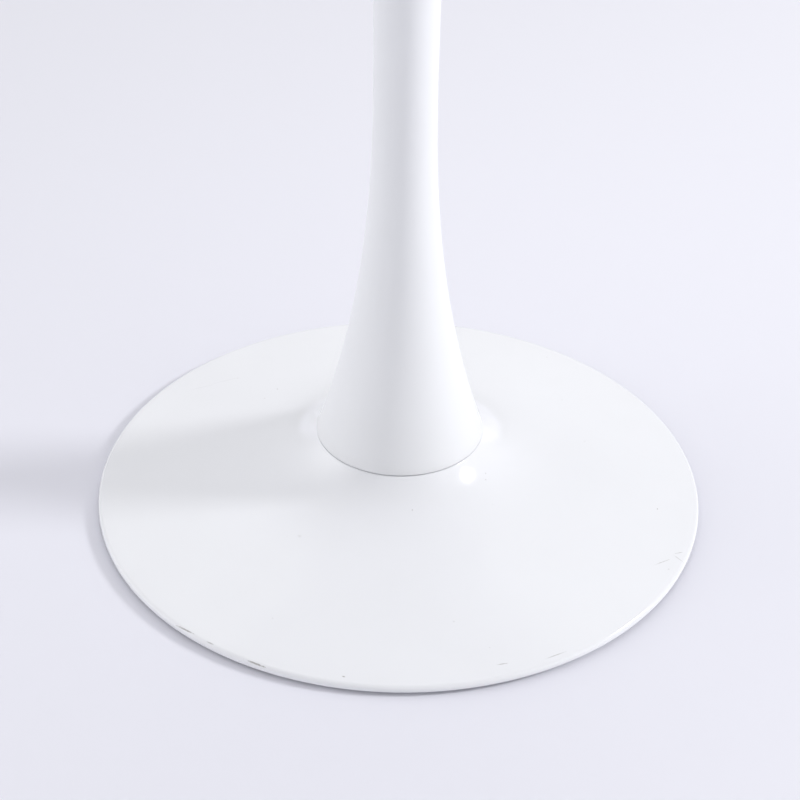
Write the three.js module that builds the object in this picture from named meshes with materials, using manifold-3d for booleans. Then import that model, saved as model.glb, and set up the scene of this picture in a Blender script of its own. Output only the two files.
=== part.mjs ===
// Round pedestal table: a lacquered top on a flared column that stands in a wide dished base.
// One threaded rod on the axis clamps ballast, base, column and top plate together, and the
// top is screwed to the plate from below. Millimetres, +Z up, origin on the floor at the axis.

import * as THREE from "three";
import { mergeVertices } from "three/addons/utils/BufferGeometryUtils.js";
import Module from "manifold-3d";

const wasm = await Module();
wasm.setup();

// ---------------------------------------------------------------------------
// Driving dimensions, mm
// ---------------------------------------------------------------------------

// Overall
const TABLE_HEIGHT = 740;
const TOP_DIAMETER = 800;
const BASE_DIAMETER = 500;
const FIT_GAP = 0.3; // between faces that touch on the real table

// Table top
const TOP_THICKNESS = 24;
const TOP_EDGE_BAND = 9; // height of the edge above the bevel
const TOP_EDGE_ROUND = 2.5;
const TOP_BEVEL_WIDTH = 60; // the underside's bevel, measured in from the edge
const POCKET_DIAMETER = 40; // recess under the top for the rod's upper nut
const POCKET_HEADROOM = 2;

// Top plate and the screws that hold the top
const TOP_PLATE_DIAMETER = 260;
const TOP_PLATE_THICKNESS = 4;
const TOP_PLATE_CHAMFER = 1.2;
const SCREW_COUNT = 6;
const SCREW_CIRCLE_DIAMETER = 226;
const SCREW_DIAMETER = 6;
const SCREW_LENGTH = 16;
const SCREW_HOLE_CLEARANCE = 0.5;
const SCREW_HEAD_DIAMETER = 12;
const SCREW_HEAD_HEIGHT = 3.6;
const SOCKET_WIDTH = 4; // hexagon across its flats
const SOCKET_DEPTH = 2.2;
const INSERT_DIAMETER = 10;
const INSERT_LENGTH = 13;
const INSERT_FLANGE_DIAMETER = 13;
const INSERT_FLANGE_THICKNESS = 1.2;
const INSERT_HOLE_EXTRA_DEPTH = 2;

// Column
const COLUMN_WALL = 1.5;
const COLUMN_FOOT_RADIUS = 68.3;
const COLUMN_WAIST_RADIUS = 23.5;
const COLUMN_HEAD_RADIUS = 45;
const COLUMN_WAIST_HEIGHT = 365;
const COLUMN_FOOT_POWER = 2.33; // how late the lower flare opens
const COLUMN_HEAD_POWER = 2.6;
const FOOT_PLATE_THICKNESS = 8;
const HEAD_PLATE_THICKNESS = 6;

// Joint between column and base
const CROWN_HEIGHT = 59.2; // flat seat on top of the base
const SEAM_GAP = 1.0; // shadow gap round the column's foot
const GASKET_THICKNESS = 1.0;
const GASKET_WIDTH = 12;
const GASKET_SETBACK = 2.3;
const PIN_DIAMETER = 6;
const PIN_SPACING = 70;
const PIN_DEPTH = 6; // how far a pin reaches into the foot plate

// Base
const BASE_WALL = 2;
const CROWN_CHAMFER = 1.0;
const CONE_SLOPE = 0.13; // fall of the outer cone, mm per mm
const FLARE_LENGTH = 22; // radial distance in which the flare fades by a factor of e
const RIM_ROUND = 3.6;
const LIP_HEIGHT = 2.0; // turned-down lip below the rim's rounding
const LIP_CHAMFER = 0.8;
const BOTTOM_PLATE_THICKNESS = 3; // closes the underside inside the lip
const BOTTOM_PLATE_CHAMFER = 1.5;
const ACCESS_HOLE_DIAMETER = 46; // in the bottom plate, for a spanner on the rod's nut
const PLATE_SCREW_COUNT = 4;
const PLATE_SCREW_CIRCLE_DIAMETER = 150;
const PLATE_SCREW_DIAMETER = 5;
const PLATE_SCREW_LENGTH = 12;
const PLATE_SCREW_HEAD_DIAMETER = 9.6;
const PLATE_SCREW_SOCKET_WIDTH = 3;
const PLATE_SCREW_SOCKET_DEPTH = 1.6;
const RING_THICKNESS = 2.5;
const RING_WIDTH = 12;
const RING_SETBACK = 10;
const HUB_PLATE_THICKNESS = 6;
const HUB_PLATE_MARGIN = 6; // inside the edge of the crown
const BALLAST_DIAMETER = 230;
const BALLAST_SHELL_GAP = 3;
const BALLAST_BOSS_MARGIN = 8; // inside the edge of the hub plate

// Tie rod
const ROD_DIAMETER = 12;
const ROD_HOLE_CLEARANCE = 0.5;
const ROD_PROJECTION = 3; // thread past each nut
const ROD_CHAMFER = 1;
const NUT_WIDTH = 18; // across flats
const FOOT_NUT_HEIGHT = 10;
const HEAD_NUT_HEIGHT = 6;
const NUT_CHAMFER = 0.9;
const FOOT_WASHER_DIAMETER = 36;
const HEAD_WASHER_DIAMETER = 24;
const WASHER_THICKNESS = 2.5;
const SPRING_WASHER_DIAMETER = 21;
const SPRING_WASHER_HEIGHT = 3;
const SPRING_WASHER_SLIT = 2.5;
const NUT_RECESS = 2.5; // rod end above the ballast's underside
const COUNTERBORE_CLEARANCE = 2;

// Roundness of the facets
const LARGE_SEGMENTS = 60;
const COLUMN_SEGMENTS = 40;
const ROD_SEGMENTS = 24;
const PIN_SEGMENTS = 12;

// ---------------------------------------------------------------------------
// Places that follow from the driving dimensions
// ---------------------------------------------------------------------------

const topUnderside = TABLE_HEIGHT - TOP_THICKNESS;
const topPlateTop = topUnderside - FIT_GAP;
const topPlateBottom = topPlateTop - TOP_PLATE_THICKNESS;
const columnTop = topPlateBottom - FIT_GAP;
const columnBottom = CROWN_HEIGHT + SEAM_GAP;
const gasketBottom = CROWN_HEIGHT + FIT_GAP;
const footPlateBottom = gasketBottom + GASKET_THICKNESS + FIT_GAP;
const footPlateTop = footPlateBottom + FOOT_PLATE_THICKNESS;
const headPlateBottom = columnTop - HEAD_PLATE_THICKNESS;

const hubPlateTop = CROWN_HEIGHT - BASE_WALL - FIT_GAP;
const hubPlateBottom = hubPlateTop - HUB_PLATE_THICKNESS;
const hubPlateRadius = COLUMN_FOOT_RADIUS - HUB_PLATE_MARGIN;
const rimBottom = RING_THICKNESS + FIT_GAP;
const bottomPlateTop = rimBottom + BOTTOM_PLATE_THICKNESS;
const ballastBottom = bottomPlateTop + FIT_GAP;
const plateScrewBottom = rimBottom + FIT_GAP / 2;
const ringOuterRadius = BASE_DIAMETER / 2 - RING_SETBACK;

const rodRadius = ROD_DIAMETER / 2;
const rodHoleRadius = rodRadius + ROD_HOLE_CLEARANCE;
const rodEnd = ballastBottom + NUT_RECESS;
const footNutBottom = rodEnd + ROD_PROJECTION;
const springWasherBottom = footNutBottom + FOOT_NUT_HEIGHT + FIT_GAP;
const footWasherBottom = springWasherBottom + SPRING_WASHER_HEIGHT + FIT_GAP;
const counterboreTop = footWasherBottom + WASHER_THICKNESS + FIT_GAP;
const headWasherBottom = topPlateTop + FIT_GAP;
const headNutBottom = headWasherBottom + WASHER_THICKNESS + FIT_GAP;
const rodTop = headNutBottom + HEAD_NUT_HEIGHT + ROD_PROJECTION;

const screwRadius = SCREW_DIAMETER / 2;
const insertTop = topUnderside + FIT_GAP + INSERT_LENGTH;
const screwTop = topPlateBottom - FIT_GAP + SCREW_LENGTH;
const insertHoleTop = Math.max(insertTop, screwTop) + INSERT_HOLE_EXTRA_DEPTH;

// ---------------------------------------------------------------------------
// Solids
// ---------------------------------------------------------------------------

/** Turns a closed outline of [radius, height] points, counter-clockwise, about the Z axis. */
function revolve(outline, segments) {
  const points = outline.map(([radius, height]) => new THREE.Vector2(radius, height));
  if (outline[0][0] > 0) points.push(points[0].clone());
  return new THREE.LatheGeometry(points, segments).rotateX(Math.PI / 2);
}

/** A round bar from one height to another. */
function bar(radius, bottom, top, segments) {
  return revolve([[0, bottom], [radius, bottom], [radius, top], [0, top]], segments);
}

/** A flat ring from one height to another. */
function ring(innerRadius, outerRadius, bottom, top, segments) {
  return revolve(
    [[innerRadius, bottom], [outerRadius, bottom], [outerRadius, top], [innerRadius, top]],
    segments,
  );
}

/** A hexagonal bar with the given width across its flats. */
function hexagon(width, bottom, top) {
  const corner = width / 2 / Math.cos(Math.PI / 6);
  const shape = new THREE.Shape();
  for (let side = 0; side < 6; side += 1) {
    const angle = (side * Math.PI) / 3;
    shape.lineTo(corner * Math.cos(angle), corner * Math.sin(angle));
  }
  const prism = new THREE.ExtrudeGeometry(shape, { depth: top - bottom, bevelEnabled: false });
  return prism.translate(0, 0, bottom);
}

/** Points of a quarter-round, from one angle to another, left to right in the outline. */
function arc(centreRadius, centreHeight, radius, startDegrees, endDegrees, steps) {
  const points = [];
  for (let step = 0; step <= steps; step += 1) {
    const angle = THREE.MathUtils.degToRad(startDegrees + ((endDegrees - startDegrees) * step) / steps);
    points.push([centreRadius + radius * Math.cos(angle), centreHeight + radius * Math.sin(angle)]);
  }
  return points;
}

/** A closed triangle mesh as a solid that can be cut. */
function toSolid(geometry) {
  const plain = geometry.clone();
  plain.deleteAttribute("normal");
  plain.deleteAttribute("uv");
  const merged = mergeVertices(plain);
  const corners = merged.index.array;
  const triangles = [];
  for (let i = 0; i < corners.length; i += 3) {
    const [a, b, c] = corners.slice(i, i + 3);
    if (a !== b && b !== c && c !== a) triangles.push(a, b, c);
  }
  return new wasm.Manifold(new wasm.Mesh({
    numProp: 3,
    vertProperties: new Float32Array(merged.attributes.position.array),
    triVerts: new Uint32Array(triangles),
  }));
}

/** A cut solid as a triangle mesh. */
function toGeometry(solid) {
  const mesh = solid.getMesh();
  const geometry = new THREE.BufferGeometry();
  geometry.setAttribute("position", new THREE.BufferAttribute(new Float32Array(mesh.vertProperties), 3));
  geometry.setIndex(new THREE.BufferAttribute(new Uint32Array(mesh.triVerts), 1));
  geometry.computeVertexNormals();
  return geometry;
}

/** The body with every tool cut away. */
function cut(body, ...tools) {
  return toGeometry(tools.reduce((solid, tool) => solid.subtract(toSolid(tool)), toSolid(body)));
}

/** The part of the body inside the limit. */
function trim(body, limit) {
  return toGeometry(toSolid(body).intersect(toSolid(limit)));
}

/** Even places round a circle, as [x, y], the first half a step from +X. */
function around(count, diameter) {
  return Array.from({ length: count }, (_, index) => {
    const angle = ((index + 0.5) * 2 * Math.PI) / count;
    return [(diameter / 2) * Math.cos(angle), (diameter / 2) * Math.sin(angle)];
  });
}

const screwPlaces = around(SCREW_COUNT, SCREW_CIRCLE_DIAMETER);
const plateScrewPlaces = around(PLATE_SCREW_COUNT, PLATE_SCREW_CIRCLE_DIAMETER);
const pinPlaces = [[-PIN_SPACING / 2, 0], [PIN_SPACING / 2, 0]];

/** The two holes for the locating pins, between two heights. */
function pinHoles(bottom, top) {
  const radius = PIN_DIAMETER / 2 + FIT_GAP;
  return pinPlaces.map(([x, y]) => bar(radius, bottom, top, PIN_SEGMENTS).translate(x, y, 0));
}

// ---------------------------------------------------------------------------
// Curves of the column and the base
// ---------------------------------------------------------------------------

/** Outer radius of the column at a height: a waist with a power-law flare to each end. */
function columnRadius(height) {
  const lower = height < COLUMN_WAIST_HEIGHT;
  const end = lower ? columnBottom : columnTop;
  const endRadius = lower ? COLUMN_FOOT_RADIUS : COLUMN_HEAD_RADIUS;
  const power = lower ? COLUMN_FOOT_POWER : COLUMN_HEAD_POWER;
  const share = (COLUMN_WAIST_HEIGHT - height) / (COLUMN_WAIST_HEIGHT - end);
  return COLUMN_WAIST_RADIUS + (endRadius - COLUMN_WAIST_RADIUS) * share ** power;
}

/** Inner radius of the column's wall at a height, square to the curve. */
function columnInnerRadius(height) {
  const slope = columnRadius(height + 0.5) - columnRadius(height - 0.5);
  return columnRadius(height) - COLUMN_WALL * Math.hypot(1, slope);
}

/** Heights along the column, closer together where the flares open. */
function columnStations(bottom, top) {
  const lowerCount = 9;
  const upperCount = 6;
  const lower = Array.from({ length: lowerCount }, (_, i) => (
    bottom + (COLUMN_WAIST_HEIGHT - bottom) * (i / lowerCount) ** 1.2
  ));
  const upper = Array.from({ length: upperCount + 1 }, (_, i) => (
    top - (top - COLUMN_WAIST_HEIGHT) * (1 - i / upperCount) ** 1.2
  ));
  return [...lower, ...upper];
}

const rimRadius = BASE_DIAMETER / 2;
const coneAngle = Math.atan(CONE_SLOPE);
const coneEdgeRadius = rimRadius - RIM_ROUND * (1 - Math.sin(coneAngle));
const coneEdgeHeight = rimBottom + LIP_HEIGHT + RIM_ROUND * Math.cos(coneAngle);
const flareHeight = CROWN_HEIGHT - coneEdgeHeight - CONE_SLOPE * (coneEdgeRadius - COLUMN_FOOT_RADIUS);

/** Height of the base's outer face at a radius: a shallow cone plus a flare that fades out. */
function baseHeight(radius) {
  const cone = coneEdgeHeight + CONE_SLOPE * (coneEdgeRadius - radius);
  return cone + flareHeight * Math.exp(-(radius - COLUMN_FOOT_RADIUS) / FLARE_LENGTH);
}

/** Fall of the base's outer face at a radius, as a positive number. */
function baseSlope(radius) {
  const flare = (flareHeight / FLARE_LENGTH) * Math.exp(-(radius - COLUMN_FOOT_RADIUS) / FLARE_LENGTH);
  return CONE_SLOPE + flare;
}

/** The point a given depth below the base's outer face, square to it. */
function belowBase(radius, depth) {
  const slope = baseSlope(radius);
  const length = Math.hypot(1, slope);
  return [radius - (depth * slope) / length, baseHeight(radius) - depth / length];
}

/** Radii from the crown to the edge of the cone, closer together in the flare. */
function baseStations(start, end, count) {
  return Array.from({ length: count + 1 }, (_, i) => start + (end - start) * (i / count) ** 1.9);
}

// ---------------------------------------------------------------------------
// Table top
// ---------------------------------------------------------------------------

function tableTop() {
  const edge = TOP_DIAMETER / 2;
  const bevelTop = TABLE_HEIGHT - TOP_EDGE_BAND;
  const body = revolve([
    [0, topUnderside],
    [edge - TOP_BEVEL_WIDTH, topUnderside],
    [edge - TOP_EDGE_ROUND / 2, bevelTop],
    [edge, bevelTop + TOP_EDGE_ROUND / 2],
    ...arc(edge - TOP_EDGE_ROUND, TABLE_HEIGHT - TOP_EDGE_ROUND, TOP_EDGE_ROUND, 0, 90, 2),
    [0, TABLE_HEIGHT],
  ], LARGE_SEGMENTS);
  const below = topUnderside - 1;
  const flangeTop = topUnderside + 2 * FIT_GAP + INSERT_FLANGE_THICKNESS;
  const holes = screwPlaces.flatMap(([x, y]) => [
    bar(INSERT_DIAMETER / 2 + FIT_GAP, below, insertHoleTop, PIN_SEGMENTS).translate(x, y, 0),
    bar(INSERT_FLANGE_DIAMETER / 2 + FIT_GAP, below, flangeTop, PIN_SEGMENTS).translate(x, y, 0),
  ]);
  const pocket = bar(POCKET_DIAMETER / 2, below, rodTop + POCKET_HEADROOM, ROD_SEGMENTS);
  return cut(body, pocket, ...holes);
}

/** Threaded insert, its flange down; the origin is the middle of its underside. */
function topInsert() {
  const bore = screwRadius + FIT_GAP;
  const body = INSERT_DIAMETER / 2;
  const flange = INSERT_FLANGE_DIAMETER / 2;
  return revolve([
    [bore, 0],
    [flange, 0],
    [flange, INSERT_FLANGE_THICKNESS],
    [body, INSERT_FLANGE_THICKNESS],
    [body, INSERT_LENGTH],
    [bore, INSERT_LENGTH],
  ], PIN_SEGMENTS);
}

/** Socket screw, its head down; the origin is the middle of the bearing face. */
function topScrew() {
  const head = SCREW_HEAD_DIAMETER / 2;
  const dome = SCREW_HEAD_HEIGHT * 0.55;
  const body = revolve([
    [0, -SCREW_HEAD_HEIGHT],
    [head * 0.62, -SCREW_HEAD_HEIGHT],
    [head * 0.88, -SCREW_HEAD_HEIGHT * 0.82],
    [head, -dome],
    [head, 0],
    [screwRadius, 0],
    [screwRadius, SCREW_LENGTH - 1],
    [screwRadius - 1, SCREW_LENGTH],
    [0, SCREW_LENGTH],
  ], PIN_SEGMENTS);
  const socket = hexagon(SOCKET_WIDTH, -SCREW_HEAD_HEIGHT - 1, SOCKET_DEPTH - SCREW_HEAD_HEIGHT);
  return cut(body, socket);
}

function topPlate() {
  const edge = TOP_PLATE_DIAMETER / 2;
  const body = revolve([
    [rodHoleRadius, topPlateBottom],
    [edge - TOP_PLATE_CHAMFER, topPlateBottom],
    [edge, topPlateBottom + TOP_PLATE_CHAMFER],
    [edge, topPlateTop],
    [rodHoleRadius, topPlateTop],
  ], LARGE_SEGMENTS);
  const radius = screwRadius + SCREW_HOLE_CLEARANCE;
  const holes = screwPlaces.map(([x, y]) => (
    bar(radius, topPlateBottom - 1, topPlateTop + 1, PIN_SEGMENTS).translate(x, y, 0)
  ));
  return cut(body, ...holes);
}

// ---------------------------------------------------------------------------
// Column
// ---------------------------------------------------------------------------

function columnShell() {
  const heights = columnStations(columnBottom, columnTop);
  const outside = heights.map((height) => [columnRadius(height), height]);
  const inside = heights.map((height) => [columnInnerRadius(height), height]).reverse();
  return revolve([...outside, ...inside], COLUMN_SEGMENTS);
}

/** A disc welded inside the column, its edge following the wall. */
function columnDisc(bottom, top) {
  return revolve([
    [rodHoleRadius, bottom],
    [columnInnerRadius(bottom) - FIT_GAP, bottom],
    [columnInnerRadius(top) - FIT_GAP, top],
    [rodHoleRadius, top],
  ], COLUMN_SEGMENTS);
}

function columnFootPlate() {
  const holes = pinHoles(footPlateBottom - 1, footPlateBottom + PIN_DEPTH + FIT_GAP);
  return cut(columnDisc(footPlateBottom, footPlateTop), ...holes);
}

function columnHeadPlate() {
  return columnDisc(headPlateBottom, columnTop);
}

function seamGasket() {
  const outer = COLUMN_FOOT_RADIUS - GASKET_SETBACK;
  const top = gasketBottom + GASKET_THICKNESS;
  return ring(outer - GASKET_WIDTH, outer, gasketBottom, top, COLUMN_SEGMENTS);
}

function locatingPin() {
  const radius = PIN_DIAMETER / 2;
  const top = footPlateBottom + PIN_DEPTH;
  const bottom = hubPlateBottom + FIT_GAP;
  const chamfer = radius / 5;
  return revolve([
    [0, bottom],
    [radius - chamfer, bottom],
    [radius, bottom + chamfer],
    [radius, top - chamfer],
    [radius - chamfer, top],
    [0, top],
  ], PIN_SEGMENTS);
}

// ---------------------------------------------------------------------------
// Base
// ---------------------------------------------------------------------------

function baseShell() {
  const coneDegrees = THREE.MathUtils.radToDeg(coneAngle);
  const lipTop = rimBottom + LIP_HEIGHT;
  const innerRim = rimRadius - BASE_WALL;
  const crownUnderside = CROWN_HEIGHT - BASE_WALL;
  const flareStart = COLUMN_FOOT_RADIUS + CROWN_CHAMFER / 2;
  const wallStart = COLUMN_FOOT_RADIUS + BASE_WALL / 2;
  const outerRadii = baseStations(flareStart, coneEdgeRadius, 11).reverse();
  const wallRadii = baseStations(wallStart, coneEdgeRadius, 9);
  const body = revolve([
    [innerRim, rimBottom],
    [rimRadius - LIP_CHAMFER, rimBottom],
    [rimRadius, rimBottom + LIP_CHAMFER],
    ...arc(rimRadius - RIM_ROUND, lipTop, RIM_ROUND, 0, 90 - coneDegrees, 4).slice(0, -1),
    ...outerRadii.map((radius) => [radius, baseHeight(radius)]),
    [COLUMN_FOOT_RADIUS - CROWN_CHAMFER / 2, CROWN_HEIGHT],
    [rodHoleRadius, CROWN_HEIGHT],
    [rodHoleRadius, crownUnderside],
    [COLUMN_FOOT_RADIUS - BASE_WALL, crownUnderside],
    ...wallRadii.map((radius) => belowBase(radius, BASE_WALL)),
    [innerRim, lipTop],
  ], LARGE_SEGMENTS);
  return cut(body, ...pinHoles(crownUnderside - 1, CROWN_HEIGHT + 1));
}

/** A countersunk screw grown by a clearance all round; its head's face is at height 0. */
function countersunk(clearance, length) {
  const head = PLATE_SCREW_HEAD_DIAMETER / 2 + clearance;
  const shank = PLATE_SCREW_DIAMETER / 2 + clearance;
  return revolve([[0, 0], [head, 0], [shank, head - shank], [shank, length], [0, length]], PIN_SEGMENTS);
}

/** Flat disc inside the lip: it closes the underside and carries the floor ring. */
function bottomPlate() {
  const edge = rimRadius - BASE_WALL - FIT_GAP;
  const access = ACCESS_HOLE_DIAMETER / 2;
  const body = revolve([
    [access, rimBottom],
    [edge, rimBottom],
    [edge, bottomPlateTop - BOTTOM_PLATE_CHAMFER],
    [edge - BOTTOM_PLATE_CHAMFER, bottomPlateTop],
    [access, bottomPlateTop],
  ], LARGE_SEGMENTS);
  const holes = plateScrewPlaces.flatMap(([x, y]) => [
    countersunk(FIT_GAP, BOTTOM_PLATE_THICKNESS + 1).translate(x, y, plateScrewBottom),
    bar(PLATE_SCREW_HEAD_DIAMETER / 2 + FIT_GAP, rimBottom - 1, plateScrewBottom + FIT_GAP / 2, PIN_SEGMENTS)
      .translate(x, y, 0),
  ]);
  return cut(body, ...holes);
}

/** Countersunk socket screw, its head down; the origin is the middle of the head's face. */
function plateScrew() {
  const socket = hexagon(PLATE_SCREW_SOCKET_WIDTH, -1, PLATE_SCREW_SOCKET_DEPTH);
  return cut(countersunk(0, PLATE_SCREW_LENGTH), socket);
}

function hubPlate() {
  const body = ring(rodHoleRadius, hubPlateRadius, hubPlateBottom, hubPlateTop, COLUMN_SEGMENTS);
  return cut(body, ...pinHoles(hubPlateBottom - 1, hubPlateTop + 1));
}

/** Cast weight: flat below, following the shell above, with a boss up to the hub plate. */
function ballastCasting() {
  const edge = BALLAST_DIAMETER / 2;
  const counterbore = FOOT_WASHER_DIAMETER / 2 + COUNTERBORE_CLEARANCE;
  const depth = BASE_WALL + BALLAST_SHELL_GAP;
  const shoulder = COLUMN_FOOT_RADIUS + depth + HUB_PLATE_THICKNESS;
  const top = baseStations(shoulder, edge, 5).reverse().map((radius) => belowBase(radius, depth));
  const body = revolve([
    [counterbore, ballastBottom],
    [top[0][0], ballastBottom],
    ...top,
    [hubPlateRadius - BALLAST_BOSS_MARGIN, hubPlateBottom - FIT_GAP],
    [rodHoleRadius, hubPlateBottom - FIT_GAP],
    [rodHoleRadius, counterboreTop],
    [counterbore, counterboreTop],
  ], COLUMN_SEGMENTS);
  const radius = PLATE_SCREW_DIAMETER / 2 + FIT_GAP;
  const holes = plateScrewPlaces.map(([x, y]) => (
    bar(radius, ballastBottom - 1, plateScrewBottom + PLATE_SCREW_LENGTH + 2, PIN_SEGMENTS).translate(x, y, 0)
  ));
  return cut(body, ...holes);
}

function floorRing() {
  const lip = RING_THICKNESS / 4;
  const inner = ringOuterRadius - RING_WIDTH;
  return revolve([
    [inner + lip, 0],
    [ringOuterRadius - lip, 0],
    [ringOuterRadius, lip],
    [ringOuterRadius, RING_THICKNESS],
    [inner, RING_THICKNESS],
    [inner, lip],
  ], LARGE_SEGMENTS);
}

// ---------------------------------------------------------------------------
// Tie rod and its nuts
// ---------------------------------------------------------------------------

function tieRod() {
  return revolve([
    [0, rodEnd],
    [rodRadius - ROD_CHAMFER, rodEnd],
    [rodRadius, rodEnd + ROD_CHAMFER],
    [rodRadius, rodTop - ROD_CHAMFER],
    [rodRadius - ROD_CHAMFER, rodTop],
    [0, rodTop],
  ], ROD_SEGMENTS);
}

/** Hexagon nut with chamfered corners; the origin is the middle of its underside. */
function nut(height) {
  const corner = NUT_WIDTH / 2 / Math.cos(Math.PI / 6);
  const limit = revolve([
    [0, 0],
    [corner - NUT_CHAMFER, 0],
    [corner, NUT_CHAMFER / 2],
    [corner, height - NUT_CHAMFER / 2],
    [corner - NUT_CHAMFER, height],
    [0, height],
  ], ROD_SEGMENTS);
  const bore = bar(rodRadius + FIT_GAP, -1, height + 1, ROD_SEGMENTS);
  return cut(trim(hexagon(NUT_WIDTH, 0, height), limit), bore);
}

function washer(diameter) {
  return ring(rodHoleRadius, diameter / 2, 0, WASHER_THICKNESS, ROD_SEGMENTS);
}

/** Split ring: the slit is cut at a slant, as on a coiled washer. */
function springWasher() {
  const reach = SPRING_WASHER_DIAMETER;
  const slit = new THREE.BoxGeometry(reach, SPRING_WASHER_SLIT, SPRING_WASHER_HEIGHT * 3);
  slit.rotateX(Math.PI / 6).translate(reach / 2, 0, SPRING_WASHER_HEIGHT / 2);
  return cut(
    ring(rodHoleRadius, SPRING_WASHER_DIAMETER / 2, 0, SPRING_WASHER_HEIGHT, ROD_SEGMENTS),
    slit,
  );
}

// ---------------------------------------------------------------------------
// Finishes
// ---------------------------------------------------------------------------

/** A material from its colour, roughness and metalness. */
function finish(color, roughness, metalness) {
  return new THREE.MeshStandardMaterial({ color, roughness, metalness });
}

const topLacquer = finish(0xf3f3f4, 0.35, 0);
const baseLacquer = finish(0xeeeff2, 0.22, 0);
const columnLacquer = finish(0xeceef3, 0.38, 0);
const plateLacquer = finish(0xe6e7ea, 0.45, 0);
const castIron = finish(0x2b2d30, 0.7, 0.4);
const steel = finish(0x8f9296, 0.35, 1);
const zinc = finish(0xb9bcc0, 0.3, 1);
const brass = finish(0xb08d4a, 0.35, 1);
const rubber = finish(0x17181a, 0.85, 0);

// ---------------------------------------------------------------------------
// Assembly
// ---------------------------------------------------------------------------

/** Adds a named piece to a group, at a place. */
function add(group, name, geometry, material, x = 0, y = 0, z = 0) {
  const mesh = new THREE.Mesh(geometry, material);
  mesh.name = name;
  mesh.position.set(x, y, z);
  group.add(mesh);
}

function baseAssembly() {
  const group = new THREE.Group();
  add(group, "base_shell", baseShell(), baseLacquer);
  add(group, "bottom_plate", bottomPlate(), plateLacquer);
  add(group, "hub_plate", hubPlate(), steel);
  add(group, "ballast_casting", ballastCasting(), castIron);
  add(group, "floor_ring", floorRing(), rubber);
  plateScrewPlaces.forEach(([x, y], index) => {
    add(group, `plate_screw_${index + 1}`, plateScrew(), zinc, x, y, plateScrewBottom);
  });
  return group;
}

function columnAssembly() {
  const group = new THREE.Group();
  add(group, "column_shell", columnShell(), columnLacquer);
  add(group, "column_foot_plate", columnFootPlate(), steel);
  add(group, "column_head_plate", columnHeadPlate(), steel);
  add(group, "seam_gasket", seamGasket(), rubber);
  pinPlaces.forEach(([x, y], index) => {
    add(group, `locating_pin_${index + 1}`, locatingPin(), steel, x, y);
  });
  return group;
}

function rodAssembly() {
  const group = new THREE.Group();
  add(group, "tie_rod", tieRod(), zinc);
  add(group, "head_nut", nut(HEAD_NUT_HEIGHT), zinc, 0, 0, headNutBottom);
  add(group, "head_washer", washer(HEAD_WASHER_DIAMETER), zinc, 0, 0, headWasherBottom);
  add(group, "foot_washer", washer(FOOT_WASHER_DIAMETER), zinc, 0, 0, footWasherBottom);
  add(group, "foot_spring_washer", springWasher(), zinc, 0, 0, springWasherBottom);
  add(group, "foot_nut", nut(FOOT_NUT_HEIGHT), zinc, 0, 0, footNutBottom);
  return group;
}

function topAssembly() {
  const group = new THREE.Group();
  add(group, "table_top", tableTop(), topLacquer);
  add(group, "top_plate", topPlate(), plateLacquer);
  screwPlaces.forEach(([x, y], index) => {
    add(group, `top_insert_${index + 1}`, topInsert(), brass, x, y, topUnderside + FIT_GAP);
    add(group, `top_screw_${index + 1}`, topScrew(), zinc, x, y, topPlateBottom - FIT_GAP);
  });
  return group;
}

const table = new THREE.Group();
table.add(baseAssembly(), columnAssembly(), rodAssembly(), topAssembly());

export default table;
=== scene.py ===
"""Round pedestal table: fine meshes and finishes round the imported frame.

Every piece is built in metres in the frame's own axes, +Z up, with the floor at z = 0 and the
column on the Z axis. Node trees do what repeats or follows a rule: one carries an outline round the
axis, others repeat a fastener or a cutting tool round a circle, and two more work out the column's
flare and wind the rod's thread. Sizes come from the frame's boxes and from each class's fields.
"""

from __future__ import annotations

import logging
import math
from dataclasses import dataclass, field
from enum import Enum
from typing import Any, Iterable, Mapping, Sequence

import bmesh
import bpy
from mathutils import Matrix, Quaternion, Vector


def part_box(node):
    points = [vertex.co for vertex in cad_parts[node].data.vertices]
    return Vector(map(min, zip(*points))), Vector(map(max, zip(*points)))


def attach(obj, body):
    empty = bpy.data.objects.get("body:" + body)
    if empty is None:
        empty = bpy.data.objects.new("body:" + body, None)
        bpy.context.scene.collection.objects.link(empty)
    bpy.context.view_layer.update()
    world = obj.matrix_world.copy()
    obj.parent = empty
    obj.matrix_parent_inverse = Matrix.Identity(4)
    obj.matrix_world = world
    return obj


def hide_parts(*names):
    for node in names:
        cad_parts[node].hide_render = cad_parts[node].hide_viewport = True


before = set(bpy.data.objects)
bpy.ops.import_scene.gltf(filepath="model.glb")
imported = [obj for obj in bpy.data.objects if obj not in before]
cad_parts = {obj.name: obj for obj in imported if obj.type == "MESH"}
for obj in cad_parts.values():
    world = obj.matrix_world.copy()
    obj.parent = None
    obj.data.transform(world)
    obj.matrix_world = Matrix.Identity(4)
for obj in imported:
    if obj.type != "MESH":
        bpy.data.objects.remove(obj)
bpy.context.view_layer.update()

LOG = logging.getLogger("table")
MM = 0.001
BODY = "root"
TURN_RADIUS = 0.25  # radius of the circle that outlines are carried round
WELD = 0.01 * MM  # points closer than this become one
PAST = 1 * MM  # how far a cutting tool reaches past the face it cuts
MATH = "ShaderNodeMath"
Colour = tuple[float, float, float, float]


# ---------------------------------------------------------------------------
# Small tools
# ---------------------------------------------------------------------------


def linear(hex_colour: str) -> Colour:
    """Turn an sRGB hex colour into linear RGBA.

    Args:
        hex_colour: six hex digits, with or without a leading #.

    Returns:
        Linear red, green, blue and an alpha of 1.
    """
    digits = hex_colour.lstrip("#")
    channels = [int(digits[i : i + 2], 16) / 255 for i in (0, 2, 4)]
    red, green, blue = (c / 12.92 if c <= 0.04045 else ((c + 0.055) / 1.055) ** 2.4 for c in channels)
    return red, green, blue, 1.0


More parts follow.
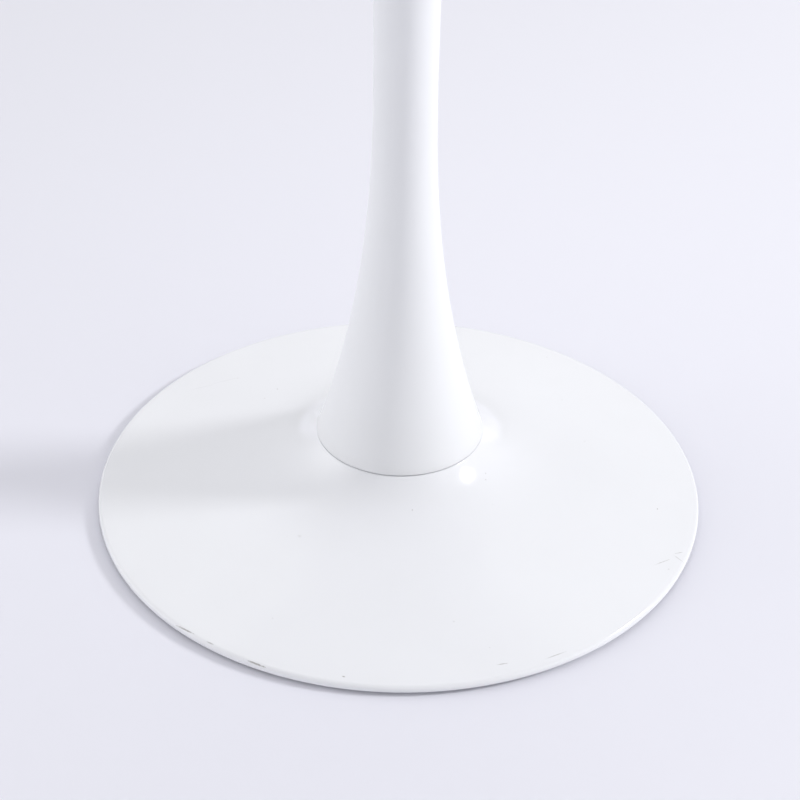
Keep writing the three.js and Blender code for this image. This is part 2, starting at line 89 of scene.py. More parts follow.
def shaded(hex_colour: str, factor: float, lift: float = 0.0) -> Colour:
    """Make a colour darker or lighter.

    Args:
        hex_colour: six hex digits, with or without a leading #.
        factor: what each linear channel is multiplied by.
        lift: what is added to each channel after that.

    Returns:
        Linear red, green and blue, none above 1, and an alpha of 1.
    """
    red, green, blue = (min(c * factor + lift, 1.0) for c in linear(hex_colour)[:3])
    return red, green, blue, 1.0


def add_node(
    tree: bpy.types.NodeTree,
    kind: str,
    settings: Mapping[str, Any] | None = None,
    inputs: Mapping[int | str, Any] | Sequence[Any] | None = None,
) -> bpy.types.Node:
    """Add a node, set its options, and set or link its inputs.

    Args:
        tree: the tree that gets the node.
        kind: the node's type name.
        settings: attributes of the node, by name.
        inputs: what goes into the sockets, in order, or by name or index: a value, a socket to
            link from, or a node to link from by its first output.

    Returns:
        The new node.
    """
    node = tree.nodes.new(kind)
    for name, value in (settings or {}).items():
        setattr(node, name, value)
    pairs = inputs.items() if isinstance(inputs, Mapping) else enumerate(inputs or ())
    for key, value in pairs:
        if isinstance(value, bpy.types.Node):
            value = value.outputs[0]
        if isinstance(value, bpy.types.NodeSocket):
            tree.links.new(value, node.inputs[key])
        else:
            node.inputs[key].default_value = value
    return node


def new_tree(name: str, sockets: Mapping[str, tuple[str, Any]]) -> bpy.types.NodeTree:
    """Make an empty geometry tree with named inputs and one geometry output.

    Args:
        name: the tree's name.
        sockets: each input's name, with its socket type and default value.

    Returns:
        The tree, with its group input and output nodes in place.
    """
    tree = bpy.data.node_groups.new(name, "GeometryNodeTree")
    tree.interface.new_socket("Geometry", in_out="OUTPUT", socket_type="NodeSocketGeometry")
    tree.interface.new_socket("Geometry", in_out="INPUT", socket_type="NodeSocketGeometry")
    for title, (kind, default) in sockets.items():
        socket = tree.interface.new_socket(title, in_out="INPUT", socket_type=kind)
        if default is not None:
            socket.default_value = default
    tree.nodes.new("NodeGroupInput")
    tree.nodes.new("NodeGroupOutput")
    return tree


def ends(tree: bpy.types.NodeTree) -> tuple[bpy.types.Node, bpy.types.Node]:
    """Return the group input and the group output node of a tree."""
    by_kind = {node.bl_idname: node for node in tree.nodes}
    return by_kind["NodeGroupInput"], by_kind["NodeGroupOutput"]


def close_tree(tree: bpy.types.NodeTree, geometry: bpy.types.NodeSocket) -> None:
    """Finish a tree: shade it, make instances real, set its material and put it out.

    Args:
        tree: a tree with "Material" and "Sharp Angle" among its inputs.
        geometry: the last geometry socket.
    """
    given, out = ends(tree)
    real = add_node(tree, "GeometryNodeRealizeInstances", inputs={0: geometry})
    faces = add_node(
        tree, "GeometryNodeSetShadeSmooth", {"domain": "FACE"}, {"Geometry": real.outputs[0]}
    )
    angle = add_node(tree, "GeometryNodeInputMeshEdgeAngle")
    is_sharp = add_node(tree, MATH, {"operation": "GREATER_THAN"}, (angle, given.outputs["Sharp Angle"]))
    edges = add_node(
        tree,
        "GeometryNodeSetShadeSmooth",
        {"domain": "EDGE"},
        {"Geometry": faces.outputs[0], "Selection": is_sharp, "Shade Smooth": False},
    )
    dressed = add_node(
        tree,
        "GeometryNodeSetMaterial",
        inputs={"Geometry": edges.outputs[0], "Material": given.outputs["Material"]},
    )
    tree.links.new(dressed.outputs[0], out.inputs[0])


FINISH_SOCKETS: dict[str, tuple[str, Any]] = {
    "Sharp Angle": ("NodeSocketFloat", math.radians(32)),
    "Material": ("NodeSocketMaterial", None),
}


def grown(
    name: str,
    tree: bpy.types.NodeTree,
    values: Mapping[str, Any],
    seed_mesh: bpy.types.Mesh | None = None,
) -> bpy.types.Object:
    """Run a tree once and keep the result as a plain mesh object at the origin.

    Args:
        name: the piece's name.
        tree: the geometry tree to run.
        values: the tree's inputs by name.
        seed_mesh: the mesh that the tree starts from, if it needs one.

    Returns:
        An object with no modifier, in the scene's collection.
    """
    source = bpy.data.objects.new(name + "_source", seed_mesh or bpy.data.meshes.new(name + "_seed"))
    bpy.context.scene.collection.objects.link(source)
    modifier = source.modifiers.new("tree", "NODES")
    modifier.node_group = tree
    identifiers = {
        item.name: item.identifier
        for item in tree.interface.items_tree
        if item.item_type == "SOCKET" and item.in_out == "INPUT"
    }
    for title, value in values.items():
        modifier[identifiers[title]] = value
    evaluated = source.evaluated_get(bpy.context.evaluated_depsgraph_get())
    mesh = bpy.data.meshes.new_from_object(evaluated)
    mesh.name = name
    bpy.data.objects.remove(source)
    face_outwards(mesh)
    piece = bpy.data.objects.new(name, mesh)
    bpy.context.scene.collection.objects.link(piece)
    return piece


def face_outwards(mesh: bpy.types.Mesh) -> None:
    """Turn a closed mesh so that its faces point out, if they point in.

    Args:
        mesh: the mesh that is turned in place.
    """
    work = bmesh.new()
    work.from_mesh(mesh)
    if work.calc_volume(signed=True) < 0:
        bmesh.ops.reverse_faces(work, faces=work.faces)
    work.to_mesh(mesh)
    work.free()


def place_piece(piece: bpy.types.Object, slot: str, *nodes: str) -> bpy.types.Object:
    """Ride a finished piece on the table, and let it stand for its frame nodes.

    Args:
        piece: the finished object.
        slot: not used.
        nodes: the frame nodes that the piece replaces.

    Returns:
        The same object.
    """
    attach(piece, BODY)
    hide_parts(*nodes)
    LOG.info("%s: %d faces for %s", piece.name, len(piece.data.polygons), ", ".join(nodes))
    return piece


# ---------------------------------------------------------------------------
# Outlines
# ---------------------------------------------------------------------------


@dataclass(frozen=True)
class Corner:
    """A corner of an outline, rounded if its radius is more than nothing."""

    radius: float
    height: float
    fillet: float = 0.0


def rounded(corners: Sequence[Corner], closed: bool, steps: int = 5) -> list[Vector]:
    """Work out an outline's points, with an arc at each rounded corner.

    Args:
        corners: the corners in order.
        closed: whether the last corner joins the first.
        steps: how many chords each arc has.

    Returns:
        The outline's points as (radius, height).
    """
    points: list[Vector] = []
    count = len(corners)
    for index, corner in enumerate(corners):
        here = Vector((corner.radius, corner.height))
        at_end = not closed and index in (0, count - 1)
        if corner.fillet <= 0 or at_end:
            points.append(here)
            continue
        before, after = corners[index - 1], corners[(index + 1) % count]
        back = (Vector((before.radius, before.height)) - here).normalized()
        ahead = (Vector((after.radius, after.height)) - here).normalized()
        half = back.angle(ahead) / 2
        middle = here + (back + ahead).normalized() * (corner.fillet / math.sin(half))
        start = here + back * (corner.fillet / math.tan(half)) - middle
        turn = (here + ahead * (corner.fillet / math.tan(half)) - middle).angle_signed(start)
        for step in range(steps + 1):
            spin = Matrix.Rotation(turn * step / steps, 2)
            points.append(middle + spin @ start)
    return points


def outline_mesh(name: str, points: Sequence[Vector], closed: bool) -> bpy.types.Mesh:
    """Make the edge loop of an outline, set off from the circle that carries it.

    The circle carries the outline's second axis downwards, so heights are stored negative.

    Args:
        name: the mesh's name.
        points: the outline as (radius, height).
        closed: whether the outline closes on itself.

    Returns:
        A mesh of edges only.
    """
    mesh = bpy.data.meshes.new(name)
    count = len(points)
    edges = [(i, (i + 1) % count) for i in range(count if closed else count - 1)]
    mesh.from_pydata([(p.x - TURN_RADIUS, -p.y, 0.0) for p in points], edges, [])
    return mesh


# ---------------------------------------------------------------------------
# Geometry trees
# ---------------------------------------------------------------------------


def turning_tree() -> bpy.types.NodeTree:
    """Tree that carries the outline it is given round the Z axis.

    Returns:
        The tree.
    """
    tree = new_tree(
        "turned piece",
        {"Segments": ("NodeSocketInt", 96), "Merge": ("NodeSocketFloat", WELD), **FINISH_SOCKETS},
    )
    given, _ = ends(tree)
    outline = add_node(tree, "GeometryNodeMeshToCurve", inputs={"Mesh": given.outputs["Geometry"]})
    path = add_node(
        tree,
        "GeometryNodeCurvePrimitiveCircle",
        inputs={"Resolution": given.outputs["Segments"], "Radius": TURN_RADIUS},
    )
    upright = add_node(
        tree, "GeometryNodeSetCurveNormal", {"mode": "Z_UP"}, {"Curve": path.outputs["Curve"]}
    )
    swept = add_node(
        tree,
        "GeometryNodeCurveToMesh",
        inputs={"Curve": upright.outputs[0], "Profile Curve": outline.outputs[0]},
    )
    welded = add_node(
        tree,
        "GeometryNodeMergeByDistance",
        inputs={"Geometry": swept.outputs[0], "Distance": given.outputs["Merge"]},
    )
    close_tree(tree, welded.outputs[0])
    return tree


def circle_places(
    tree: bpy.types.NodeTree, given: bpy.types.Node, piece: bpy.types.NodeSocket
) -> bpy.types.NodeSocket:
    """Repeat a piece round the circle named by the tree's inputs.

    Args:
        tree: the tree, with "Count", "Circle Diameter" and "Height" among its inputs.
        given: the tree's group input node.
        piece: the geometry that is repeated.

    Returns:
        The instances.
    """
    radius = add_node(tree, MATH, {"operation": "DIVIDE"}, (given.outputs["Circle Diameter"], 2.0))
    ring = add_node(
        tree,
        "GeometryNodeMeshCircle",
        {"fill_type": "NONE"},
        {"Vertices": given.outputs["Count"], "Radius": radius},
    )
    half_step = add_node(tree, MATH, {"operation": "DIVIDE"}, (math.pi, given.outputs["Count"]))
    turn = add_node(tree, "ShaderNodeCombineXYZ", inputs={"Z": half_step})
    lift = add_node(tree, "ShaderNodeCombineXYZ", inputs={"Z": given.outputs["Height"]})
    moved = add_node(
        tree,
        "GeometryNodeTransform",
        inputs={
            "Geometry": ring.outputs["Mesh"],
            "Translation": lift.outputs[0],
            "Rotation": turn.outputs[0],
        },
    )
    placed = add_node(
        tree,
        "GeometryNodeInstanceOnPoints",
        inputs={"Points": moved.outputs[0], "Instance": piece},
    )
    return placed.outputs[0]


CIRCLE_SOCKETS: dict[str, tuple[str, Any]] = {
    "Count": ("NodeSocketInt", 6),
    "Circle Diameter": ("NodeSocketFloat", 0.2),
    "Height": ("NodeSocketFloat", 0.0),
}


def repeating_tree() -> bpy.types.NodeTree:
    """Tree that repeats the mesh it is given round a circle.

    Returns:
        The tree.
    """
    tree = new_tree("pieces round a circle", {**CIRCLE_SOCKETS, **FINISH_SOCKETS})
    given, _ = ends(tree)
    close_tree(tree, circle_places(tree, given, given.outputs["Geometry"]))
    return tree


def tooling_tree(operation: str) -> bpy.types.NodeTree:
    """Tree that cuts the mesh it is given with a tool repeated round a circle.

    Args:
        operation: DIFFERENCE to take the tools away, INTERSECT to keep what they share.

    Returns:
        The tree.
    """
    tree = new_tree(
        f"tools round a circle, {operation.lower()}",
        {"Tool": ("NodeSocketObject", None), **CIRCLE_SOCKETS, **FINISH_SOCKETS},
    )
    given, _ = ends(tree)
    tool = add_node(tree, "GeometryNodeObjectInfo", inputs={"Object": given.outputs["Tool"]})
    places = circle_places(tree, given, tool.outputs["Geometry"])
    tools = add_node(tree, "GeometryNodeRealizeInstances", inputs={0: places})
    cut = add_node(tree, "GeometryNodeMeshBoolean", {"operation": operation, "solver": "EXACT"})
    blank_socket = "Mesh 1" if operation == "DIFFERENCE" else "Mesh 2"
    tree.links.new(given.outputs["Geometry"], cut.inputs[blank_socket])
    tree.links.new(tools.outputs[0], cut.inputs["Mesh 2"])
    close_tree(tree, cut.outputs["Mesh"])
    return tree


def flaring_tree() -> bpy.types.NodeTree:
    """Tree that grows the column's outer face: a waist with a power-law flare to each end.

    Returns:
        The tree.
    """
    lengths = ("Bottom", "Top", "Waist Height", "Foot Radius", "Waist Radius", "Head Radius")
    tree = new_tree(
        "flared column",
        {
            "Segments": ("NodeSocketInt", 96),
            "Stations": ("NodeSocketInt", 80),
            **{title: ("NodeSocketFloat", 0.1) for title in lengths},
            "Foot Power": ("NodeSocketFloat", 2.0),
            "Head Power": ("NodeSocketFloat", 2.0),
            **FINISH_SOCKETS,
        },
    )
    given, _ = ends(tree)
    size = given.outputs
    columns = add_node(tree, MATH, {"operation": "ADD"}, (size["Segments"], 1.0))
    sheet = add_node(
        tree,
        "GeometryNodeMeshGrid",
        inputs={"Size X": 1.0, "Size Y": 1.0, "Vertices X": columns, "Vertices Y": size["Stations"]},
    )
    where = add_node(tree, "GeometryNodeInputPosition")
    across = add_node(tree, "ShaderNodeSeparateXYZ", inputs=(where,)).outputs
    turns = add_node(tree, MATH, {"operation": "ADD"}, (across["X"], 0.5))
    angle = add_node(tree, MATH, {"operation": "MULTIPLY"}, (turns, math.tau))
    share = add_node(tree, MATH, {"operation": "ADD"}, (across["Y"], 0.5))
    length = add_node(tree, MATH, {"operation": "SUBTRACT"}, (size["Top"], size["Bottom"]))
    height = add_node(tree, MATH, {"operation": "MULTIPLY_ADD"}, (share, length, size["Bottom"]))
    way = add_node(tree, MATH, {"operation": "SUBTRACT"}, (height, size["Waist Height"]))
    radius = size["Waist Radius"]
    for end, swell, power in (
        ("Bottom", "Foot Radius", "Foot Power"),
        ("Top", "Head Radius", "Head Power"),
    ):
        reach = add_node(tree, MATH, {"operation": "SUBTRACT"}, (size[end], size["Waist Height"]))
        part = add_node(tree, MATH, {"operation": "DIVIDE"}, (way, reach))
        part = add_node(tree, MATH, {"operation": "MAXIMUM"}, (part, 0.0))
        curve = add_node(tree, MATH, {"operation": "POWER"}, (part, size[power]))
        gain = add_node(tree, MATH, {"operation": "SUBTRACT"}, (size[swell], size["Waist Radius"]))
        radius = add_node(tree, MATH, {"operation": "MULTIPLY_ADD"}, (curve, gain, radius))
    sides = []
    for operation in ("COSINE", "SINE"):
        side = add_node(tree, MATH, {"operation": operation}, (angle,))
        sides.append(add_node(tree, MATH, {"operation": "MULTIPLY"}, (radius, side)))
    spot = add_node(tree, "ShaderNodeCombineXYZ", inputs=(*sides, height))
    bent = add_node(
        tree,
        "GeometryNodeSetPosition",
        inputs={"Geometry": sheet.outputs["Mesh"], "Position": spot.outputs[0]},
    )
    welded = add_node(
        tree, "GeometryNodeMergeByDistance", inputs={"Geometry": bent.outputs[0], "Distance": WELD}
    )
    close_tree(tree, welded.outputs[0])
    return tree


def threading_tree() -> bpy.types.NodeTree:
    """Tree that winds a triangular ridge round a bar, from one height to another.

    Returns:
        The tree.
    """
    tree = new_tree(
        "screw thread",
        {
            "Core Radius": ("NodeSocketFloat", 0.005),
            "Ridge Height": ("NodeSocketFloat", 0.0008),
            "Pitch": ("NodeSocketFloat", 0.00175),
            "Length": ("NodeSocketFloat", 0.03),
            "Start": ("NodeSocketFloat", 0.0),
            **FINISH_SOCKETS,
        },
    )
    given, _ = ends(tree)
    size = given.outputs
    rotations = add_node(tree, MATH, {"operation": "DIVIDE"}, (size["Length"], size["Pitch"]))
    helix = add_node(
        tree,
        "GeometryNodeCurveSpiral",
        inputs={
            "Resolution": 28,
            "Rotations": rotations,
            "Start Radius": size["Core Radius"],
            "End Radius": size["Core Radius"],
            "Height": size["Length"],
        },
    )
    upright = add_node(
        tree, "GeometryNodeSetCurveNormal", {"mode": "Z_UP"}, {"Curve": helix.outputs["Curve"]}
    )
    ridge = add_node(
        tree, "GeometryNodeCurvePrimitiveCircle", inputs={"Resolution": 3, "Radius": size["Ridge Height"]}
    )
    wound = add_node(
        tree,
        "GeometryNodeCurveToMesh",
        inputs={"Curve": upright.outputs[0], "Profile Curve": ridge.outputs["Curve"], "Fill Caps": True},
    )
    lift = add_node(tree, "ShaderNodeCombineXYZ", inputs={"Z": size["Start"]})
    lifted = add_node(
        tree,
        "GeometryNodeTransform",
        inputs={"Geometry": wound.outputs[0], "Translation": lift.outputs[0]},
    )
    both = add_node(tree, "GeometryNodeJoinGeometry", inputs={0: lifted.outputs[0]})
    tree.links.new(size["Geometry"], both.inputs[0])
    close_tree(tree, both.outputs[0])
    return tree


@dataclass(frozen=True)
class Circle:
    """Places round the Z axis, the first half a step from +X."""

    count: int = 1
    diameter: float = 0.0
    height: float = 0.0

    def values(self) -> dict[str, Any]:
        """Return the places as tree inputs."""
        return {"Count": self.count, "Circle Diameter": self.diameter, "Height": self.height}


@dataclass(frozen=True)
class Trees:
    """The geometry trees that the pieces share."""

    turning: bpy.types.NodeTree = field(default_factory=turning_tree)
    repeating: bpy.types.NodeTree = field(default_factory=repeating_tree)
    cutting: bpy.types.NodeTree = field(default_factory=lambda: tooling_tree("DIFFERENCE"))
    trimming: bpy.types.NodeTree = field(default_factory=lambda: tooling_tree("INTERSECT"))
    flaring: bpy.types.NodeTree = field(default_factory=flaring_tree)
    threading: bpy.types.NodeTree = field(default_factory=threading_tree)

    def turn(
        self,
        name: str,
        points: Sequence[Vector],
        material: bpy.types.Material,
        closed: bool = True,
        segments: int = 96,
    ) -> bpy.types.Object:
        """Carry an outline round the Z axis.

        Args:
            name: the piece's name.
            points: the outline as (radius, height).
            material: the piece's finish.
            closed: False where the outline starts and ends on the axis.
            segments: how many steps the circle has.

        Returns:
            The finished object.
        """
        values = {"Segments": segments, "Material": material}
        return grown(name, self.turning, values, outline_mesh(name + "_outline", points, closed))

    def shape(
        self,
        tree: bpy.types.NodeTree,
        name: str,
        blank: bpy.types.Object,
        material: bpy.types.Material,
        values: Mapping[str, Any],
    ) -> bpy.types.Object:
        """Put a finished piece through one more tree; the blank is used up.

        Args:
            tree: the tree to run.
            name: the new piece's name.
            blank: the piece that goes in.
            material: the new piece's finish.
            values: the tree's other inputs.

        Returns:
            The new object.
        """
        mesh = blank.data
        bpy.data.objects.remove(blank)
        return grown(name, tree, {**values, "Material": material}, mesh)

    def bore(
        self,
        name: str,
        blank: bpy.types.Object,
        tool: Sequence[Vector],
        circle: Circle,
        material: bpy.types.Material,
        sides: int = 48,
        keep: bool = False,
    ) -> bpy.types.Object:
        """Cut a blank with a turned tool, at every place of a circle.

        Args:
            name: the new piece's name.
            blank: the piece that is cut; it is used up.
            tool: the tool's outline as (radius, height), from axis to axis.
            circle: where the tool goes.
            material: the new piece's finish.
            sides: of the tool: 6 makes it a hexagon.
            keep: True to keep what lies inside the tool, and not what lies outside.

        Returns:
            The new object.
        """
        cutter = self.turn(name + "_tool", tool, material, closed=False, segments=sides)
        values = {"Tool": cutter, **circle.values()}
        piece = self.shape(self.trimming if keep else self.cutting, name, blank, material, values)
        bpy.data.objects.remove(cutter)
        return piece


# ---------------------------------------------------------------------------
# Finishes
# ---------------------------------------------------------------------------


class Gloss(Enum):
    """How far a lacquer or a metal is polished, as the roughness of its shader."""

    GLOSSY = 0.12
    SEMI_GLOSS = 0.20
    SATIN = 0.38
    DULL = 0.55
    MATT = 0.78


@dataclass(frozen=True)
class Scuff:
    """A short scrape in the lacquer, placed by its angle and radius in plan."""

    angle: float  # degrees, anticlockwise from +X
    radius: float  # mm from the axis
    length: float  # mm
    width: float  # mm
    turn: float = 0.0  # degrees away from the rim's own direction
    depth: float = 0.6  # share of full darkness


def principled(name: str) -> tuple[bpy.types.Material, bpy.types.NodeTree, bpy.types.Node]:
    """Make a material and return it with its tree and its main shader.

    Args:
        name: the material's name.

    Returns:
        The material, its tree and its main shader.
    """
    material = bpy.data.materials.new(name)
    material.use_nodes = True
    tree = material.node_tree
    return material, tree, tree.nodes["Principled BSDF"]


def noise(
    tree: bpy.types.NodeTree, size_mm: float, detail: float, stretch: Sequence[float] = (1, 1, 1)
) -> bpy.types.NodeSocket:
    """Add a noise in object space, with the coordinates it needs.

    Args:
        tree: the material's tree.
        size_mm: about how large its grains are, in millimetres.
        detail: how many finer layers it has.
        stretch: how much finer it is along each axis.

    Returns:
        The noise, from 0 to 1.
    """
    place = add_node(tree, "ShaderNodeTexCoord").outputs["Object"]
    scaled = add_node(tree, "ShaderNodeMapping", inputs={"Vector": place, "Scale": tuple(stretch)})
    inputs = {"Vector": scaled, "Scale": 1 / (size_mm * MM), "Detail": detail}
    return add_node(tree, "ShaderNodeTexNoise", inputs=inputs).outputs[0]


def two_tone(
    tree: bpy.types.NodeTree,
    pattern: bpy.types.NodeSocket,
    span: tuple[float, float],
    first: Colour,
    second: Colour,
) -> bpy.types.NodeSocket:
    """Blend two colours by a pattern.

    Args:
        tree: the material's tree.
        pattern: what decides between them.
        span: the pattern's values where the first colour ends and the second is reached.
        first: the colour below the span.
        second: the colour above it.

    Returns:
        The blended colour.
    """
    inputs = {"Value": pattern, "From Min": span[0], "From Max": span[1]}
    share = add_node(tree, "ShaderNodeMapRange", {"clamp": True}, inputs)
    inputs = {"Factor": share, "A": first, "B": second}
    return add_node(tree, "ShaderNodeMix", {"data_type": "RGBA"}, inputs).outputs["Result"]


@dataclass(frozen=True)
class Relief:
    """What a surface does besides its colour: how its gloss drifts, and what stands proud."""

    cloud: bpy.types.NodeSocket  # the pattern that the roughness follows
    low: float  # share of the roughness where the pattern is low
    high: float  # share of it where the pattern is high
    height: bpy.types.NodeSocket  # the pattern of the bump
    strength: float
    distance: float

    def apply(
        self, tree: bpy.types.NodeTree, shader: bpy.types.Node, tint: bpy.types.NodeSocket, gloss: Gloss
    ) -> None:
        """Give a shader its colour, its drifting roughness and its bump.

        Args:
            tree: the material's tree.
            shader: the material's main shader.
            tint: its colour.
            gloss: its mean roughness.
        """
        inputs = {
            "Value": self.cloud,
            "From Min": 0.3,
            "From Max": 0.7,
            "To Min": gloss.value * self.low,
            "To Max": gloss.value * self.high,
        }
        rough = add_node(tree, "ShaderNodeMapRange", {"clamp": True}, inputs)
        inputs = {"Strength": self.strength, "Distance": self.distance, "Height": self.height}
        bump = add_node(tree, "ShaderNodeBump", inputs=inputs)
        tree.links.new(tint, shader.inputs["Base Color"])
        tree.links.new(rough.outputs[0], shader.inputs["Roughness"])
        tree.links.new(bump.outputs[0], shader.inputs["Normal"])


@dataclass(frozen=True)
class Lacquer:
    """Stoved enamel on metal or board: even colour, faint orange peel, a soft gloss."""

    name: str
    colour: str
    gloss: Gloss
    peel_mm: float = 2.6  # spacing of the orange peel
    peel_height: float = 0.02  # share of the bump's full strength
    drift_mm: float = 90.0  # spacing of the faint drift in its colour
    haze_mm: float = 35.0  # spacing of the drift in its gloss
    specks: float = 0.0  # share of full strength of fine dark dust
    speck_mm: float = 22.0  # spacing of the dust
    scuffs: tuple[Scuff, ...] = ()
    soil: str = "#8c8782"

    def build(self) -> bpy.types.Material:
        """Build the material.

        Returns:
            The lacquer as a node material.
        """
        material, tree, shader = principled(self.name)
        drift = noise(tree, self.drift_mm, 2.0)
        tint = two_tone(tree, drift, (0.35, 0.65), linear(self.colour), shaded(self.colour, 0.988))
        marks = self.marks(tree)
        if marks is not None:
            inputs = {"Factor": marks, "A": tint, "B": linear(self.soil)}
            tint = add_node(tree, "ShaderNodeMix", {"data_type": "RGBA"}, inputs).outputs["Result"]
        haze, peel = noise(tree, self.haze_mm, 3.0), noise(tree, self.peel_mm, 1.0)
        Relief(haze, 0.95, 1.05, peel, self.peel_height, 0.4 * MM).apply(tree, shader, tint, self.gloss)
        shader.inputs["IOR"].default_value = 1.5
        return material

    def marks(self, tree: bpy.types.NodeTree) -> bpy.types.Node | None:
        """Add the specks and scuffs as one mask, or nothing where the lacquer is clean.

        Args:
            tree: the material's tree.

        Returns:
            The node that gives the mask, or None.
        """
        mask: bpy.types.Node | None = None
        place = add_node(tree, "ShaderNodeTexCoord").outputs["Object"]
        if self.specks > 0:
            inputs = {"Vector": place, "Scale": 1 / (self.speck_mm * MM), "Randomness": 1.0}
            spots = add_node(tree, "ShaderNodeTexVoronoi", {"feature": "F1"}, inputs)
            inputs = (spots.outputs["Distance"], 0.012, 0.034, self.specks, 0.0)
            mask = add_node(tree, "ShaderNodeMapRange", {"clamp": True}, inputs)
        for scuff in self.scuffs:
            scrape = self.scrape(tree, place, scuff)
            if mask is not None:
                scrape = add_node(tree, MATH, {"operation": "MAXIMUM"}, (mask, scrape))
            mask = scrape
        return mask

    def scrape(
        self, tree: bpy.types.NodeTree, place: bpy.types.NodeSocket, scuff: Scuff
    ) -> bpy.types.Node:
        """Add one scuff as a ragged thin ellipse.

        Args:
            tree: the material's tree.
            place: the object coordinates.
            scuff: where the scuff is and how large.

        Returns:
            Its mask, from 0 to its depth.
        """
        angle = math.radians(scuff.angle)
        centre = Vector((math.cos(angle), math.sin(angle), 0)) * scuff.radius * MM
        heading = math.radians(scuff.angle + 90 + scuff.turn)
        local = add_node(
            tree,
            "ShaderNodeMapping",
            {"vector_type": "TEXTURE"},
            {
                "Vector": place,
                "Location": tuple(centre),
                "Rotation": (0.0, 0.0, heading),
                "Scale": (scuff.length / 2 * MM, scuff.width / 2 * MM, 1.0),
            },
        )
        reach = add_node(
            tree, "ShaderNodeVectorMath", {"operation": "LENGTH"}, {0: local.outputs[0]}
        ).outputs["Value"]
        grit = add_node(tree, MATH, {"operation": "MULTIPLY"}, (noise(tree, 1.6, 3.0), 0.9))
        ragged = add_node(tree, MATH, {"operation": "ADD"}, (reach, grit))
        inputs = (ragged, 0.75, 1.25, scuff.depth, 0.0)
        return add_node(tree, "ShaderNodeMapRange", {"clamp": True}, inputs)


@dataclass(frozen=True)
class Metal:
    """Bare or plated metal with the marks of how it was made."""

    name: str
    colour: str
    gloss: Gloss
    grain_mm: float
    grain_stretch: tuple[float, float, float] = (1.0, 1.0, 1.0)
    bump: float = 0.1

    def build(self) -> bpy.types.Material:
        """Build the material.

        Returns:
            The metal as a node material.
        """
        material, tree, shader = principled(self.name)
        grain = noise(tree, self.grain_mm, 4.0, self.grain_stretch)
        tint = two_tone(tree, grain, (0.3, 0.7), linear(self.colour), shaded(self.colour, 0.8))
        Relief(grain, 0.8, 1.25, grain, self.bump, 0.3 * MM).apply(tree, shader, tint, self.gloss)
        shader.inputs["Metallic"].default_value = 1.0
        return material


@dataclass(frozen=True)
class Dull:
    """A dull non-metal or painted casting: rubber, primer over sand-cast iron."""

    name: str
    colour: str
    grain_mm: float
    bump: float
    ior: float = 1.5
    gloss: Gloss = Gloss.MATT

    def build(self) -> bpy.types.Material:
        """Build the material.

        Returns:
            The surface as a node material.
        """
        material, tree, shader = principled(self.name)
        grain = noise(tree, self.grain_mm, 5.0)
        light = shaded(self.colour, 1.9, 0.002)
        tint = two_tone(tree, grain, (0.35, 0.75), linear(self.colour), light)
        Relief(grain, 0.9, 1.1, grain, self.bump, 0.6 * MM).apply(tree, shader, tint, self.gloss)
        shader.inputs["IOR"].default_value = self.ior
        return material


# Knocks and scrapes that a used base picks up: most of them near the rim.
BASE_SCUFFS = (
    Scuff(angle=230.8, radius=248.6, length=26, width=1.5, turn=4, depth=0.7),
    Scuff(angle=236.6, radius=248.2, length=10, width=1.4, turn=2, depth=0.5),
    Scuff(angle=245.9, radius=248.9, length=24, width=1.5, turn=-1.6, depth=0.7),
    Scuff(angle=261.2, radius=243.3, length=4, width=1.4, turn=-8, depth=0.7),
    Scuff(angle=289.0, radius=238.2, length=12, width=1.1, turn=-4, depth=0.6),
    Scuff(angle=298.8, radius=244.1, length=26, width=1.1, turn=-1, depth=0.5),
    Scuff(angle=332.6, radius=234.4, length=24, width=1.0, turn=-30, depth=0.45),
    Scuff(angle=335.3, radius=243.9, length=15, width=1.0, turn=69, depth=0.4),
    Scuff(angle=336.9, radius=242.3, length=12, width=1.1, turn=-45, depth=0.5),
    Scuff(angle=277.3, radius=87.4, length=1.5, width=1.3, depth=0.45),
    Scuff(angle=348.4, radius=216.2, length=2.0, width=1.7, depth=0.8),
    Scuff(angle=135.1, radius=155.3, length=1.9, width=1.6, depth=0.8),
    Scuff(angle=145.4, radius=217.2, length=34, width=1.0, turn=-36, depth=0.14),
    Scuff(angle=140.0, radius=206.5, length=38, width=1.0, turn=-28, depth=0.14),
    Scuff(angle=233.2, radius=128.5, length=6, width=4.0, depth=0.12),
)


